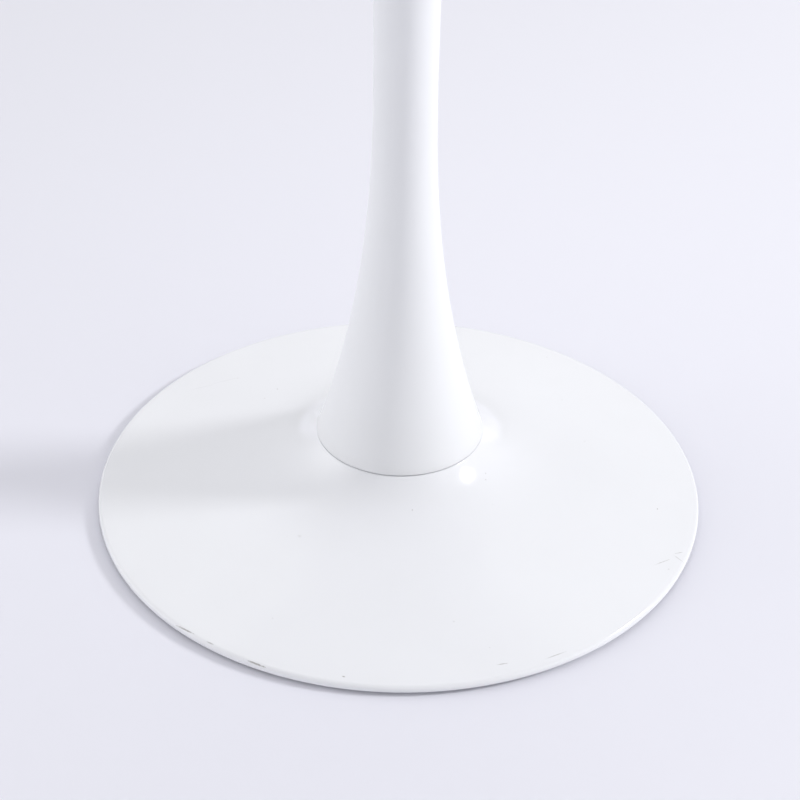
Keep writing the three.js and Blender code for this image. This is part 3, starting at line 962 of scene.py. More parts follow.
@dataclass(frozen=True)
class Finishes:
    """Every finish on the table, built once."""

    # Polyester enamel sprayed and stoved on spun steel: hard, glossy, very faintly rippled.
    base: bpy.types.Material = field(
        default_factory=lambda: Lacquer(
            "stoved_enamel_gloss", "#ECEDF1", Gloss.GLOSSY, specks=0.35, scuffs=BASE_SCUFFS
        ).build()
    )
    # The same enamel in a satin grade, sprayed along the tube.
    column: bpy.types.Material = field(
        default_factory=lambda: Lacquer("stoved_enamel_satin", "#E9EAED", Gloss.SATIN).build()
    )
    # Polyurethane lacquer, sanded and sprayed on fibreboard: smooth and softly reflecting.
    top: bpy.types.Material = field(
        default_factory=lambda: Lacquer("polyurethane_lacquer_satin", "#EFEFEF", Gloss.SATIN).build()
    )
    # Powder coat on pressed steel: satin with a coarser orange peel.
    plate: bpy.types.Material = field(
        default_factory=lambda: Lacquer(
            "powder_coat_satin", "#E4E4E6", Gloss.DULL, peel_mm=1.4, peel_height=0.08
        ).build()
    )
    # Grey iron, sand cast and dipped in black primer: pitted and dull.
    casting: bpy.types.Material = field(
        default_factory=lambda: Dull("primed_sand_cast_iron", "#242528", 2.2, 0.5, gloss=Gloss.DULL).build()
    )
    # Moulded nitrile rubber: near black, matt, finely textured.
    rubber: bpy.types.Material = field(
        default_factory=lambda: Dull("moulded_nitrile_rubber", "#17181A", 0.8, 0.15, ior=1.52).build()
    )
    # Zinc-plated steel: pale grey with a faint milky bloom.
    zinc: bpy.types.Material = field(
        default_factory=lambda: Metal("zinc_plated_steel", "#B9BDC1", Gloss.SEMI_GLOSS, 3.0).build()
    )
    # Steel turned on a lathe and left bare under a film of oil.
    steel: bpy.types.Material = field(
        default_factory=lambda: Metal(
            "turned_steel", "#8F9194", Gloss.SATIN, 1.2, (1.0, 1.0, 6.0)
        ).build()
    )
    # Brass bar, machined: the inserts.
    brass: bpy.types.Material = field(
        default_factory=lambda: Metal("machined_brass", "#B8934E", Gloss.SEMI_GLOSS, 0.8).build()
    )


# ---------------------------------------------------------------------------
# Shared by the assemblies
# ---------------------------------------------------------------------------


def socket_screw(
    trees: Trees,
    name: str,
    corners: Sequence[Corner],
    across: float,
    depth: float,
    material: bpy.types.Material,
) -> bpy.types.Object:
    """Turn a screw and sink a hexagon socket in its head, which points down.

    Args:
        trees: the shared trees.
        name: the screw's name.
        corners: its outline from axis to axis, head first, without the socket.
        across: the socket's width across its flats.
        depth: of the socket.
        material: the screw's finish.

    Returns:
        The screw, on the Z axis.
    """
    corner = across / 2 / math.cos(math.pi / 6)
    face = corners[0].height
    top = face + depth
    tool = [
        Vector((0.0, face - PAST)),
        Vector((corner, face - PAST)),
        Vector((corner, top)),
        Vector((0.0, top + corner / 3)),
    ]
    points = rounded(corners, closed=False)
    blank = trees.turn(name + "_blank", points, material, closed=False, segments=48)
    return trees.bore(name, blank, tool, Circle(), material, sides=6)


def dress_node(name: str, material: bpy.types.Material) -> None:
    """Give a frame node that keeps its own shape a finish.

    Args:
        name: the node's name.
        material: its finish.
    """
    node = bpy.data.objects[name]
    for slot in node.material_slots:
        slot.material = material
    LOG.info("%s keeps its shape, in %s", name, material.name)


# ---------------------------------------------------------------------------
# Base
# ---------------------------------------------------------------------------


@dataclass
class Base:
    """The dished base: enamelled shell, bottom plate and screws, floor ring and ballast."""

    trees: Trees
    finishes: Finishes
    wall: float = 2.0 * MM
    crown_radius: float = 68.3 * MM
    crown_round: float = 2.4 * MM
    cone_slope: float = 0.13
    flare_length: float = 22.0 * MM
    rim_round: float = 3.6 * MM
    lip_height: float = 2.0 * MM
    rod_hole: float = 6.5 * MM
    access_radius: float = 23 * MM
    lip_inner_round: float = 0.5 * MM
    lip_outer_round: float = 0.9 * MM
    fit_gap: float = 0.3 * MM
    plate_chamfer: float = 1.5 * MM
    screw_circle: Circle = Circle(4, 150 * MM)
    screw_head: float = 4.8 * MM
    screw_shank: float = 2.5 * MM
    screw_chamfer: float = 0.7 * MM
    screw_hole: float = 2.8 * MM
    countersink: float = 5.1 * MM
    key_across: float = 3 * MM
    key_depth: float = 1.6 * MM
    ring_width: float = 12 * MM
    groove: float = 0.8 * MM
    ballast_gap: float = 5.0 * MM  # between the shell's outer face and the casting
    ballast_bore: float = 20 * MM
    boss_radius: float = 54.3 * MM
    boss_fillet: float = 6 * MM
    segments: int = 192
    rim_steps: int = 10
    face_steps: int = 70
    wall_steps: int = 48
    crest_steps: int = 14

    def __post_init__(self) -> None:
        """Read the shell's outer sizes from the frame."""
        low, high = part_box("base_shell")
        self.rim_radius = high[0]
        self.rim_bottom = low[2]
        self.crown_height = high[2]
        angle = math.atan(self.cone_slope)
        self.edge_radius = self.rim_radius - self.rim_round * (1 - math.sin(angle))
        self.edge_height = self.rim_bottom + self.lip_height + self.rim_round * math.cos(angle)
        fall = self.cone_slope * (self.edge_radius - self.crown_radius)
        self.flare_height = self.crown_height - self.edge_height - fall

    def height(self, radius: float) -> float:
        """Height of the shell's outer face: a shallow cone and a flare that fades out."""
        cone = self.edge_height + self.cone_slope * (self.edge_radius - radius)
        return cone + self.flare_height * math.exp(-(radius - self.crown_radius) / self.flare_length)

    def slope(self, radius: float) -> float:
        """Fall of the outer face at a radius, as a positive number."""
        fade = math.exp(-(radius - self.crown_radius) / self.flare_length)
        return self.cone_slope + self.flare_height / self.flare_length * fade

    def under(self, radius: float, depth: float) -> Vector:
        """The point a given depth below the outer face, square to it.

        Args:
            radius: where on the outer face.
            depth: how far below it.

        Returns:
            The point as (radius, height).
        """
        slope = self.slope(radius)
        length = math.hypot(1, slope)
        return Vector((radius - depth * slope / length, self.height(radius) - depth / length))

    def radii(self, start: float, count: int) -> list[float]:
        """Radii from a start to the cone's edge, closer together in the flare."""
        return [start + (self.edge_radius - start) * (i / count) ** 1.8 for i in range(count + 1)]

    def shell(self) -> bpy.types.Object:
        """Build the spun shell with its rounded rim, its lip and its crown.

        Returns:
            The placed piece.
        """
        lip_top = self.rim_bottom + self.lip_height
        inner_rim = self.rim_radius - self.wall
        crown_under = self.crown_height - self.wall
        sweep = math.pi / 2 - math.atan(self.cone_slope)
        turns = [sweep * step / self.rim_steps for step in range(self.rim_steps)]
        rim = [
            Vector((
                self.rim_radius - self.rim_round * (1 - math.cos(turn)),
                lip_top + self.rim_round * math.sin(turn),
            ))
            for turn in turns
        ]
        start = self.crown_radius + self.crown_round / 2
        face = [Vector((r, self.height(r))) for r in reversed(self.radii(start, self.face_steps))]
        crown = rounded(
            [
                Corner(start, self.height(start)),
                Corner(self.crown_radius, self.crown_height, self.crown_round / 2),
                Corner(self.rod_hole, self.crown_height, 0.4 * MM),
                Corner(self.rod_hole, crown_under),
            ],
            closed=False,
        )
        wall_radii = self.radii(self.crown_radius + self.wall / 2, self.wall_steps)
        wall = [self.under(r, self.wall) for r in wall_radii]
        lip = rounded(
            [
                Corner(inner_rim, lip_top),
                Corner(inner_rim, self.rim_bottom, self.lip_inner_round),
                Corner(self.rim_radius, self.rim_bottom, self.lip_outer_round),
                Corner(self.rim_radius, lip_top),
            ],
            closed=False,
        )
        inside = [Vector((self.crown_radius - self.wall, crown_under)), *wall]
        points = [*lip[:-1], *rim, *face[:-1], *crown, *inside]
        piece = self.trees.turn("base_dish", points, self.finishes.base, segments=self.segments)
        return place_piece(piece, "base_lacquer", "base_shell")

    def bottom_plate(self) -> bpy.types.Object:
        """Build the disc that closes the underside, with countersunk holes for its screws.

        Returns:
            The placed piece.
        """
        low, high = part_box("bottom_plate")
        corners = [
            Corner(self.access_radius, low[2], 0.4 * MM),
            Corner(high[0], low[2], 0.4 * MM),
            Corner(high[0], high[2] - self.plate_chamfer, 0.3 * MM),
            Corner(high[0] - self.plate_chamfer, high[2], 0.3 * MM),
            Corner(self.access_radius, high[2], 0.2 * MM),
        ]
        points = rounded(corners, closed=True, steps=3)
        blank = self.trees.turn("plate_blank", points, self.finishes.plate, segments=self.segments)
        wide, hole = self.countersink, self.screw_hole
        sink = [
            Vector((0.0, low[2] - PAST)),
            Vector((wide, low[2] - PAST)),
            Vector((wide, low[2] + self.fit_gap)),
            Vector((hole, low[2] + self.fit_gap + wide - hole)),
            Vector((hole, high[2] + PAST)),
            Vector((0.0, high[2] + PAST)),
        ]
        piece = self.trees.bore("underside_plate", blank, sink, self.screw_circle, self.finishes.plate)
        return place_piece(piece, "plate_lacquer", "bottom_plate")

    def screws(self) -> bpy.types.Object:
        """Build the countersunk socket screws that hold the bottom plate.

        Returns:
            The placed piece.
        """
        low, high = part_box("plate_screw_1")
        head, shank, length = self.screw_head, self.screw_shank, high[2] - low[2]
        corners = [
            Corner(0.0, 0.0),
            Corner(head, 0.0, 0.15 * MM),
            Corner(shank, head - shank, 0.3 * MM),
            Corner(shank, length - self.screw_chamfer),
            Corner(shank - self.screw_chamfer, length),
            Corner(0.0, length),
        ]
        zinc = self.finishes.zinc
        single = socket_screw(self.trees, "plate_screw", corners, self.key_across, self.key_depth, zinc)
        circle = Circle(self.screw_circle.count, self.screw_circle.diameter, low[2])
        piece = self.trees.shape(self.trees.repeating, "underside_screws", single, zinc, circle.values())
        return place_piece(piece, "zinc_steel", *(f"plate_screw_{n + 1}" for n in range(circle.count)))

    def floor_ring(self) -> bpy.types.Object:
        """Build the rubber ring that the table stands on, with two shallow grooves below.

        Returns:
            The placed piece.
        """
        low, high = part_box("floor_ring")
        outer, width, groove = high[0], self.ring_width, self.groove
        inner = outer - width
        corners = [Corner(inner, low[2], 0.7 * MM)]
        for share in (1 / 3, 2 / 3):
            middle = inner + width * share
            corners += [
                Corner(middle - groove, low[2], 0.2 * MM),
                Corner(middle - groove / 2, low[2] + groove, 0.2 * MM),
                Corner(middle + groove / 2, low[2] + groove, 0.2 * MM),
                Corner(middle + groove, low[2], 0.2 * MM),
            ]
        corners += [
            Corner(outer, low[2], 0.7 * MM),
            Corner(outer, high[2], 0.3 * MM),
            Corner(inner, high[2], 0.3 * MM),
        ]
        points = rounded(corners, closed=True, steps=3)
        rubber = self.finishes.rubber
        piece = self.trees.turn("floor_ring_moulding", points, rubber, segments=self.segments)
        return place_piece(piece, "rubber", "floor_ring")

    def ballast(self) -> bpy.types.Object:
        """Build the cast weight: flat below with a counterbore, and a boss above.

        Returns:
            The placed piece.
        """
        low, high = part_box("ballast_casting")
        gap, count = self.ballast_gap, self.crest_steps
        bore, bore_top = self.ballast_bore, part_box("foot_washer")[1][2] + self.fit_gap
        shoulder = self.crown_radius + gap + self.boss_fillet
        edge = high[0] + gap * self.cone_slope
        crest = [self.under(edge + (shoulder - edge) * i / count, gap) for i in range(1, count + 1)]
        rim = rounded(
            [
                Corner(bore, low[2]),
                Corner(high[0], low[2], 2.0 * MM),
                Corner(high[0], self.under(edge, gap).y, 2.5 * MM),
                Corner(crest[0].x, crest[0].y),
            ],
            closed=False,
        )
        boss = rounded(
            [
                Corner(crest[-1].x, crest[-1].y),
                Corner(self.boss_radius, high[2], 3.0 * MM),
                Corner(self.rod_hole, high[2], 0.8 * MM),
                Corner(self.rod_hole, bore_top),
                Corner(bore, bore_top, 1.5 * MM),
                Corner(bore, low[2] + 1.0 * MM),
                Corner(bore + 1.0 * MM, low[2]),
            ],
            closed=False,
        )
        points = [*rim[1:], *crest[1:-1], *boss]
        blank = self.trees.turn("ballast_blank", points, self.finishes.casting, segments=128)
        hole = self.screw_hole
        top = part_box("plate_screw_1")[1][2] + 2 * MM
        drill = [Vector((0, 0)), Vector((hole, 0)), Vector((hole, top)), Vector((0, top + hole / 2))]
        piece = self.trees.bore("ballast_weight", blank, drill, self.screw_circle, self.finishes.casting)
        return place_piece(piece, "cast_iron", "ballast_casting")

    def build(self) -> list[bpy.types.Object]:
        """Build every piece of the base and return them."""
        dress_node("hub_plate", self.finishes.steel)
        return [self.shell(), self.bottom_plate(), self.screws(), self.floor_ring(), self.ballast()]


# ---------------------------------------------------------------------------
# Column
# ---------------------------------------------------------------------------


@dataclass
class Column:
    """The flared tube, the discs in its ends and the gasket under it."""

    trees: Trees
    finishes: Finishes
    waist_radius: float = 23.5 * MM
    head_radius: float = 45.0 * MM
    waist_height: float = 365.0 * MM
    foot_power: float = 2.33
    head_power: float = 2.6
    wall: float = 1.5 * MM
    edge_round: float = 0.35 * MM
    gasket_width: float = 12 * MM
    gasket_round: float = 0.3 * MM

    def shell(self) -> bpy.types.Object:
        """Build the tube: the flared face from nodes, its wall, and softened end edges.

        Returns:
            The placed piece.
        """
        low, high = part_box("column_shell")
        values = {
            "Segments": 128,
            "Stations": 120,
            "Bottom": low[2],
            "Top": high[2],
            "Waist Height": self.waist_height,
            "Foot Radius": high[0],
            "Waist Radius": self.waist_radius,
            "Head Radius": self.head_radius,
            "Foot Power": self.foot_power,
            "Head Power": self.head_power,
            "Material": self.finishes.column,
        }
        face = grown("column_trumpet", self.trees.flaring, values)
        self.face_away(face.data)
        wall = face.modifiers.new("wall", "SOLIDIFY")
        wall.thickness = self.wall
        wall.offset = -1.0
        soft = face.modifiers.new("edges", "BEVEL")
        soft.limit_method = "ANGLE"
        soft.angle_limit = math.radians(40)
        soft.width = self.edge_round
        soft.segments = 3
        evaluated = face.evaluated_get(bpy.context.evaluated_depsgraph_get())
        mesh = bpy.data.meshes.new_from_object(evaluated)
        face.modifiers.clear()
        face.data = mesh
        return place_piece(face, "column_lacquer", "column_shell")

    @staticmethod
    def face_away(mesh: bpy.types.Mesh) -> None:
        """Turn an open sheet round the axis so that its faces look away from the axis.

        Args:
            mesh: the sheet, turned in place.
        """
        work = bmesh.new()
        work.from_mesh(mesh)
        work.faces.ensure_lookup_table()
        first = work.faces[0]
        centre = first.calc_center_median()
        if first.normal.dot(Vector((centre.x, centre.y, 0))) < 0:
            bmesh.ops.reverse_faces(work, faces=work.faces)
        work.to_mesh(mesh)
        work.free()

    def gasket(self) -> bpy.types.Object:
        """Build the black gasket that shows as a fine dark line at the seam.

        Returns:
            The placed piece.
        """
        low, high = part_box("seam_gasket")
        inner, edge = high[0] - self.gasket_width, self.gasket_round
        corners = [
            Corner(inner, low[2], edge),
            Corner(high[0], low[2], edge),
            Corner(high[0], high[2], edge),
            Corner(inner, high[2], edge),
        ]
        points = rounded(corners, closed=True, steps=3)
        piece = self.trees.turn("seam_gasket_ring", points, self.finishes.rubber, segments=128)
        return place_piece(piece, "rubber", "seam_gasket")

    def build(self) -> list[bpy.types.Object]:
        """Build every piece of the column.

        Returns:
            The pieces.
        """
        for node in ("column_foot_plate", "column_head_plate", "locating_pin_1", "locating_pin_2"):
            dress_node(node, self.finishes.steel)
        return [self.shell(), self.gasket()]


# ---------------------------------------------------------------------------
# Tie rod
# ---------------------------------------------------------------------------


@dataclass
class TieRod:
    """The rod on the axis, threaded at both ends, with its nuts and washers."""

    trees: Trees
    finishes: Finishes
    pitch: float = 1.75 * MM
    ridge: float = 0.75 * MM
    foot_thread: float = 45 * MM
    head_thread: float = 32 * MM
    fit_gap: float = 0.3 * MM
    bore_radius: float = 6.3 * MM
    lead_in: float = 0.7 * MM
    face_share: float = 0.95  # of the flats' radius that the nut's flat faces reach
    end_chamfer: float = 0.8 * MM
    runout: float = 1.0 * MM  # where the thread fades into the shank

    def rod(self) -> bpy.types.Object:
        """Build the rod with a rolled thread at each end.

        Returns:
            The placed piece.
        """
        low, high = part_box("tie_rod")
        full = high[0]
        ridge_reach = self.ridge * 1.5
        core = full - ridge_reach
        shank_low = low[2] + self.foot_thread
        shank_high = high[2] - self.head_thread
        corners = [
            Corner(0.0, low[2]),
            Corner(core - self.end_chamfer, low[2]),
            Corner(core, low[2] + self.end_chamfer),
            Corner(core, shank_low - self.runout),
            Corner(full, shank_low),
            Corner(full, shank_high),
            Corner(core, shank_high + self.runout),
            Corner(core, high[2] - self.end_chamfer),
            Corner(core - self.end_chamfer, high[2]),
            Corner(0.0, high[2]),
        ]
        points = rounded(corners, closed=False)
        core_piece = self.trees.turn("rod_core", points, self.finishes.zinc, closed=False, segments=48)
        mesh = core_piece.data
        bpy.data.objects.remove(core_piece)
        spans = (
            (low[2] + self.pitch, self.foot_thread - 3 * self.pitch),
            (shank_high + 2 * self.pitch, self.head_thread - 3 * self.pitch),
        )
        for start, length in spans:
            values = {
                "Core Radius": core,
                "Ridge Height": ridge_reach,
                "Pitch": self.pitch,
                "Length": length,
                "Start": start,
                "Material": self.finishes.zinc,
            }
            threaded = grown("tie_rod_threaded", self.trees.threading, values, mesh)
            mesh = threaded.data
            if start != spans[-1][0]:
                bpy.data.objects.remove(threaded)
        return place_piece(threaded, "zinc_steel", "tie_rod")

    def nut(self, node: str) -> bpy.types.Object:
        """Build a hexagon nut: a turned blank with chamfered corners, trimmed to six flats.

        Args:
            node: the frame node it stands for; its corners lie on the X axis.

        Returns:
            The placed nut.
        """
        low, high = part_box(node)
        corner, flat = high[0], high[1]
        face = flat * self.face_share
        rise = (corner - face) * math.tan(math.radians(30))
        outer, wide = corner + self.fit_gap, self.bore_radius + self.lead_in
        corners = [
            Corner(wide, low[2]),
            Corner(face, low[2]),
            Corner(outer, low[2] + rise),
            Corner(outer, high[2] - rise),
            Corner(face, high[2]),
            Corner(wide, high[2]),
            Corner(self.bore_radius, high[2] - self.lead_in),
            Corner(self.bore_radius, low[2] + self.lead_in),
        ]
        blank = self.trees.turn(node + "_blank", rounded(corners, closed=True), self.finishes.zinc)
        bar = [
            Vector((0.0, low[2] - PAST)),
            Vector((corner, low[2] - PAST)),
            Vector((corner, high[2] + PAST)),
            Vector((0.0, high[2] + PAST)),
        ]
        piece = self.trees.bore(
            node + "_hexagon", blank, bar, Circle(), self.finishes.zinc, sides=6, keep=True
        )
        return place_piece(piece, "zinc_steel", node)

    def washer(self, node: str) -> bpy.types.Object:
        """Build a stamped washer: its punched side is rounded more than its burr side.

        Args:
            node: the frame node it stands for.

        Returns:
            The placed piece.
        """
        low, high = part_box(node)
        bore = self.bore_radius + 0.2 * MM
        corners = [
            Corner(bore, low[2], 0.2 * MM),
            Corner(high[0], low[2], 0.2 * MM),
            Corner(high[0], high[2], 0.6 * MM),
            Corner(bore, high[2], 0.4 * MM),
        ]
        points = rounded(corners, closed=True)
        piece = self.trees.turn(node + "_stamping", points, self.finishes.zinc)
        return place_piece(piece, "zinc_steel", node)

    def build(self) -> list[bpy.types.Object]:
        """Build the rod, its nuts and its flat washers, and dress the spring washer.

        Returns:
            The pieces.
        """
        dress_node("foot_spring_washer", self.finishes.zinc)
        nuts = [self.nut(node) for node in ("head_nut", "foot_nut")]
        return [self.rod(), *nuts, *(self.washer(node) for node in ("head_washer", "foot_washer"))]


# ---------------------------------------------------------------------------
# Top
# ---------------------------------------------------------------------------


@dataclass
class Top:
    """The round top, the plate under it, and the screws and inserts that hold it."""

    trees: Trees
    finishes: Finishes
    circle: Circle = Circle(6, 226 * MM)
    edge_band: float = 9.0 * MM
    bevel_width: float = 60.0 * MM
    edge_round: float = 2.5 * MM
    bevel_fillet: float = 14.0 * MM
    pocket: float = 20 * MM
    spare: float = 2 * MM  # room past the end of a rod or a screw
    flange_hole: float = 6.8 * MM
    flange_sink: float = 1.8 * MM
    insert_hole: float = 5.3 * MM
    rod_hole: float = 6.5 * MM
    screw_hole: float = 3.5 * MM
    fit_gap: float = 0.3 * MM
    screw_head: float = 6.0 * MM
    screw_shank: float = 3.0 * MM
    screw_chamfer: float = 0.9 * MM
    key_across: float = 4 * MM
    key_depth: float = 2.2 * MM
    insert_bore: float = 3.3 * MM
    insert_body: float = 5.0 * MM
    insert_flange: float = 6.5 * MM
    flange_height: float = 1.2 * MM
    rib_height: float = 0.6 * MM
    ribs: int = 6

    def panel(self) -> bpy.types.Object:
        """Build the top: rounded edge, bevel below, a pocket for the nut and blind screw holes.

        Returns:
            The placed piece.
        """
        low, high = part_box("table_top")
        edge = high[0]
        pocket = self.pocket
        pocket_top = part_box("tie_rod")[1][2] + self.spare
        corners = [
            Corner(0.0, pocket_top),
            Corner(pocket, pocket_top, 1.0 * MM),
            Corner(pocket, low[2], 0.4 * MM),
            Corner(edge - self.bevel_width, low[2], self.bevel_fillet),
            Corner(edge, high[2] - self.edge_band, 1.6 * MM),
            Corner(edge, high[2], self.edge_round),
            Corner(0.0, high[2]),
        ]
        points = rounded(corners, closed=False, steps=8)
        blank = self.trees.turn("top_blank", points, self.finishes.top, closed=False, segments=192)
        flange, body = self.flange_hole, self.insert_hole
        step, top = low[2] + self.flange_sink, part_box("top_screw_1")[1][2] + self.spare
        drill = [
            Vector((0.0, low[2] - PAST)),
            Vector((flange, low[2] - PAST)),
            Vector((flange, step)),
            Vector((body, step)),
            Vector((body, top)),
            Vector((0.0, top)),
        ]
        piece = self.trees.bore("table_top_panel", blank, drill, self.circle, self.finishes.top)
        return place_piece(piece, "top_lacquer", "table_top")

    def plate(self) -> bpy.types.Object:
        """Build the round steel plate with its screw holes.

        Returns:
            The placed piece.
        """
        low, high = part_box("top_plate")
        bore = self.rod_hole
        corners = [
            Corner(bore, low[2], 0.4 * MM),
            Corner(high[0], low[2], 1.5 * MM),
            Corner(high[0], high[2], 0.4 * MM),
            Corner(bore, high[2], 0.4 * MM),
        ]
        points = rounded(corners, closed=True)
        blank = self.trees.turn("head_plate_blank", points, self.finishes.plate, segments=160)
        hole = self.screw_hole
        drill = [Vector((0, 0)), Vector((hole, 0)), Vector((hole, 1)), Vector((0, 1))]
        piece = self.trees.bore("top_mounting_plate", blank, drill, self.circle, self.finishes.plate)
        return place_piece(piece, "plate_lacquer", "top_plate")

    def screws(self) -> bpy.types.Object:
        """Build the button-head screws, one for each place round the circle.

        Returns:
            The placed piece.
        """
        low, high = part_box("top_screw_1")
        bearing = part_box("top_plate")[0][2] - self.fit_gap
        head, head_height = self.screw_head, bearing - low[2]
        shank, length = self.screw_shank, high[2] - bearing
        corners = [
            Corner(0.0, -head_height),
            Corner(head * 0.72, -head_height, 2.0 * MM),
            Corner(head, -head_height * 0.3, 0.6 * MM),
            Corner(head, 0.0, 0.3 * MM),
            Corner(shank, 0.0),
            Corner(shank, length - self.screw_chamfer),
            Corner(shank - self.screw_chamfer, length),
            Corner(0.0, length),
        ]
        zinc = self.finishes.zinc
        single = socket_screw(self.trees, "top_screw", corners, self.key_across, self.key_depth, zinc)
        return self.repeated("top_screws", single, bearing, zinc, "zinc_steel", "top_screw")

    def inserts(self) -> bpy.types.Object:
        """Build the threaded inserts, one above each screw.

        Returns:
            The placed piece.
        """
        low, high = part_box("top_insert_1")
        bore, body, flange = self.insert_bore, self.insert_body, self.insert_flange
        length, root = high[2] - low[2], body - self.rib_height
        corners = [Corner(bore, 0.0, 0.2 * MM), Corner(flange, 0.0, 0.3 * MM)]
        corners += [Corner(flange, self.flange_height), Corner(root, self.flange_height)]
        step = (length - 2 * MM) / self.ribs
        for rib in range(self.ribs):
            foot = 1.6 * MM + rib * step
            corners += [Corner(root, foot), Corner(body, foot + step / 2)]
        corners += [Corner(root, length), Corner(bore, length, 0.2 * MM)]
        brass = self.finishes.brass
        single = self.trees.turn("top_insert", rounded(corners, closed=True), brass, segments=48)
        return self.repeated("top_inserts", single, low[2], brass, "brass", "top_insert")

    def repeated(
        self,
        name: str,
        single: bpy.types.Object,
        height: float,
        material: bpy.types.Material,
        slot: str,
        node: str,
    ) -> bpy.types.Object:
        """Repeat a fastener at every screw place, and place the result.

        Args:
            name: the finished piece's name.
            single: the fastener on the Z axis; it is used up.
            height: where its own datum goes.
            material: the fasteners' finish.
            slot: the material slot's name, handed on to place_piece.
            node: the name that the frame nodes share, before their number.

        Returns:
            The placed piece.
        """
        circle = Circle(self.circle.count, self.circle.diameter, height)
        piece = self.trees.shape(self.trees.repeating, name, single, material, circle.values())
        nodes = [f"{node}_{number}" for number in range(1, self.circle.count + 1)]
        return place_piece(piece, slot, *nodes)

    def build(self) -> list[bpy.types.Object]:
        """Build every piece of the top and return them."""
        return [self.panel(), self.plate(), self.screws(), self.inserts()]


# ---------------------------------------------------------------------------
# Studio
# ---------------------------------------------------------------------------


@dataclass(frozen=True)
class Softbox:
    """A round area light aimed at a point on the base."""

    name: str
    azimuth: float  # degrees, anticlockwise from +X
    elevation: float
    distance: float
    size: float
    watts: float
    colour: str = "#FFFFFF"
    aim: tuple[float, float, float] = (0.0, 0.0, 0.1)

    def place(self) -> bpy.types.Object:
        """Put the light in the scene.

        Returns:
            The lamp.
        """
        data = bpy.data.lights.new(self.name, "AREA")
        data.shape = "DISK"
        data.size = self.size
        data.energy = self.watts
        data.color = linear(self.colour)[:3]
        lamp = bpy.data.objects.new(self.name, data)
        bpy.context.scene.collection.objects.link(lamp)
        turn, rise = math.radians(self.azimuth), math.radians(self.elevation)
        away = Vector(
            (math.cos(turn) * math.cos(rise), math.sin(turn) * math.cos(rise), math.sin(rise))
        )
        lamp.location = Vector(self.aim) + away * self.distance
        lamp.rotation_euler = away.to_track_quat("Z", "Y").to_euler()
        return lamp


@dataclass(frozen=True)
class Glow:
    """A broad, distant soft light: a lobe of brightness round one direction."""

    towards: tuple[float, float, float]
    strength: float
    sharpness: float = 6.0


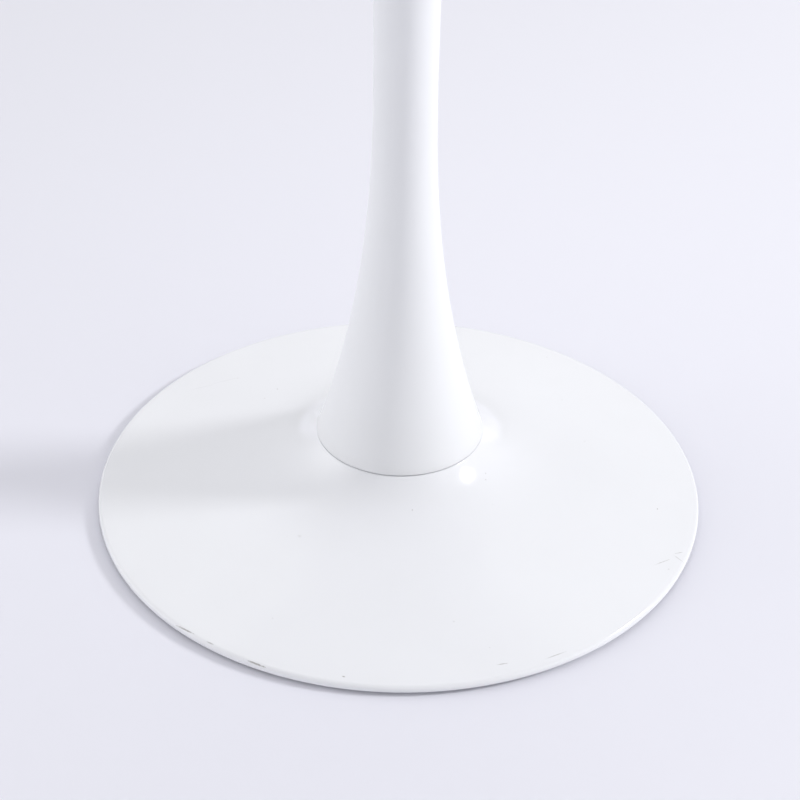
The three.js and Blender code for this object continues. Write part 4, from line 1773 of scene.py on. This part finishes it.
@dataclass
class Studio:
    """Floor, surrounding light, softboxes and camera."""

    floor_colour: str = "#E6E6EF"
    floor_reach: float = 40.0
    even_light: float = 0.292
    glows: tuple[Glow, ...] = (
        Glow((-1.0, 0.0, 0.2), 2.45),
        Glow((0.0, -1.0, 0.2), 0.243),
        Glow((0.0, 1.0, 0.3), 0.206),
        Glow((0.0, 1.0, 1.0), 0.742),
        Glow((0.0, 0.0, 1.0), 0.425),
        Glow((1.0, -0.6, 0.2), 1.278),
    )
    key: Softbox = Softbox("key", azimuth=0.0, elevation=30.0, distance=5.0, size=1.0, watts=122.6)
    camera_place: tuple[float, float, float] = (0.0, -1.077, 0.820)
    camera_down: float = 34.28  # degrees below level
    camera_pan: float = 0.231  # degrees to the left of +Y
    camera_roll: float = 0.88  # degrees anticlockwise
    lens: float = 72.0
    shift_x: float = 0.0063
    sensor: float = 36.0
    floor_drop: float = 0.2 * MM  # keeps the floor clear of the ring that stands on it
    floor_roughness: float = 0.7

    def floor(self) -> bpy.types.Object:
        """Make the plain pale floor, just under the rubber ring.

        Returns:
            The floor.
        """
        half, level = self.floor_reach, -self.floor_drop
        mesh = bpy.data.meshes.new("floor")
        corners = [(x * half, y * half, level) for x, y in ((-1, -1), (1, -1), (1, 1), (-1, 1))]
        mesh.from_pydata(corners, [], [(0, 1, 2, 3)])
        floor = bpy.data.objects.new("floor", mesh)
        bpy.context.scene.collection.objects.link(floor)
        material, _, shader = principled("matt_floor_paint")
        shader.inputs["Base Color"].default_value = linear(self.floor_colour)
        shader.inputs["Roughness"].default_value = self.floor_roughness
        mesh.materials.append(material)
        return floor

    def surroundings(self) -> None:
        """Light the room from all round, with a broad soft glow for each large softbox."""
        world = bpy.data.worlds.new("studio")
        world.use_nodes = True
        bpy.context.scene.world = world
        tree = world.node_tree
        way = add_node(tree, "ShaderNodeTexCoord").outputs["Generated"]
        total: Any = self.even_light
        for glow in self.glows:
            towards = tuple(Vector(glow.towards).normalized())
            facing = add_node(
                tree, "ShaderNodeVectorMath", {"operation": "DOT_PRODUCT"}, {0: way, 1: towards}
            ).outputs["Value"]
            front = add_node(tree, MATH, {"operation": "MAXIMUM"}, (facing, 0.0))
            lobe = add_node(tree, MATH, {"operation": "POWER"}, (front, glow.sharpness))
            total = add_node(tree, MATH, {"operation": "MULTIPLY_ADD"}, (lobe, glow.strength, total))
        tree.links.new(total.outputs[0], tree.nodes["Background"].inputs["Strength"])
        tree.nodes["Background"].inputs["Color"].default_value = linear("#FFFFFF")

    def camera(self) -> bpy.types.Object:
        """Make the camera and set it as the scene's own.

        Returns:
            The camera.
        """
        data = bpy.data.cameras.new("camera")
        data.lens = self.lens
        data.sensor_width = self.sensor
        data.shift_x = self.shift_x
        camera = bpy.data.objects.new("camera", data)
        bpy.context.scene.collection.objects.link(camera)
        down, pan = math.radians(self.camera_down), math.radians(self.camera_pan)
        ahead = Vector((-math.sin(pan) * math.cos(down), math.cos(pan) * math.cos(down), -math.sin(down)))
        level = ahead.to_track_quat("-Z", "Y")
        camera.rotation_mode = "QUATERNION"
        camera.rotation_quaternion = level @ Quaternion((0, 0, 1), math.radians(self.camera_roll))
        camera.location = self.camera_place
        bpy.context.scene.camera = camera
        return camera

    def build(self) -> None:
        """Set up everything round the table."""
        self.floor()
        self.surroundings()
        self.key.place()
        self.camera()
        bpy.context.scene.view_settings.view_transform = "Standard"


# ---------------------------------------------------------------------------
# The table
# ---------------------------------------------------------------------------


def report(pieces: Iterable[bpy.types.Object]) -> None:
    """Log how many pieces and faces the model has.

    Args:
        pieces: the pieces that were built.
    """
    pieces = list(pieces)
    faces = sum(len(piece.data.polygons) for piece in pieces)
    LOG.info("%d pieces made, %d faces", len(pieces), faces)


def main() -> None:
    """Build the studio and every sub-assembly in order."""
    logging.basicConfig(level=logging.INFO, format="%(name)s: %(message)s")
    trees, finishes = Trees(), Finishes()
    Studio().build()
    pieces: list[bpy.types.Object] = []
    for assembly in (Base, Column, TieRod, Top):
        pieces += assembly(trees, finishes).build()
    report(pieces)


if __name__ == "__main__":
    main()
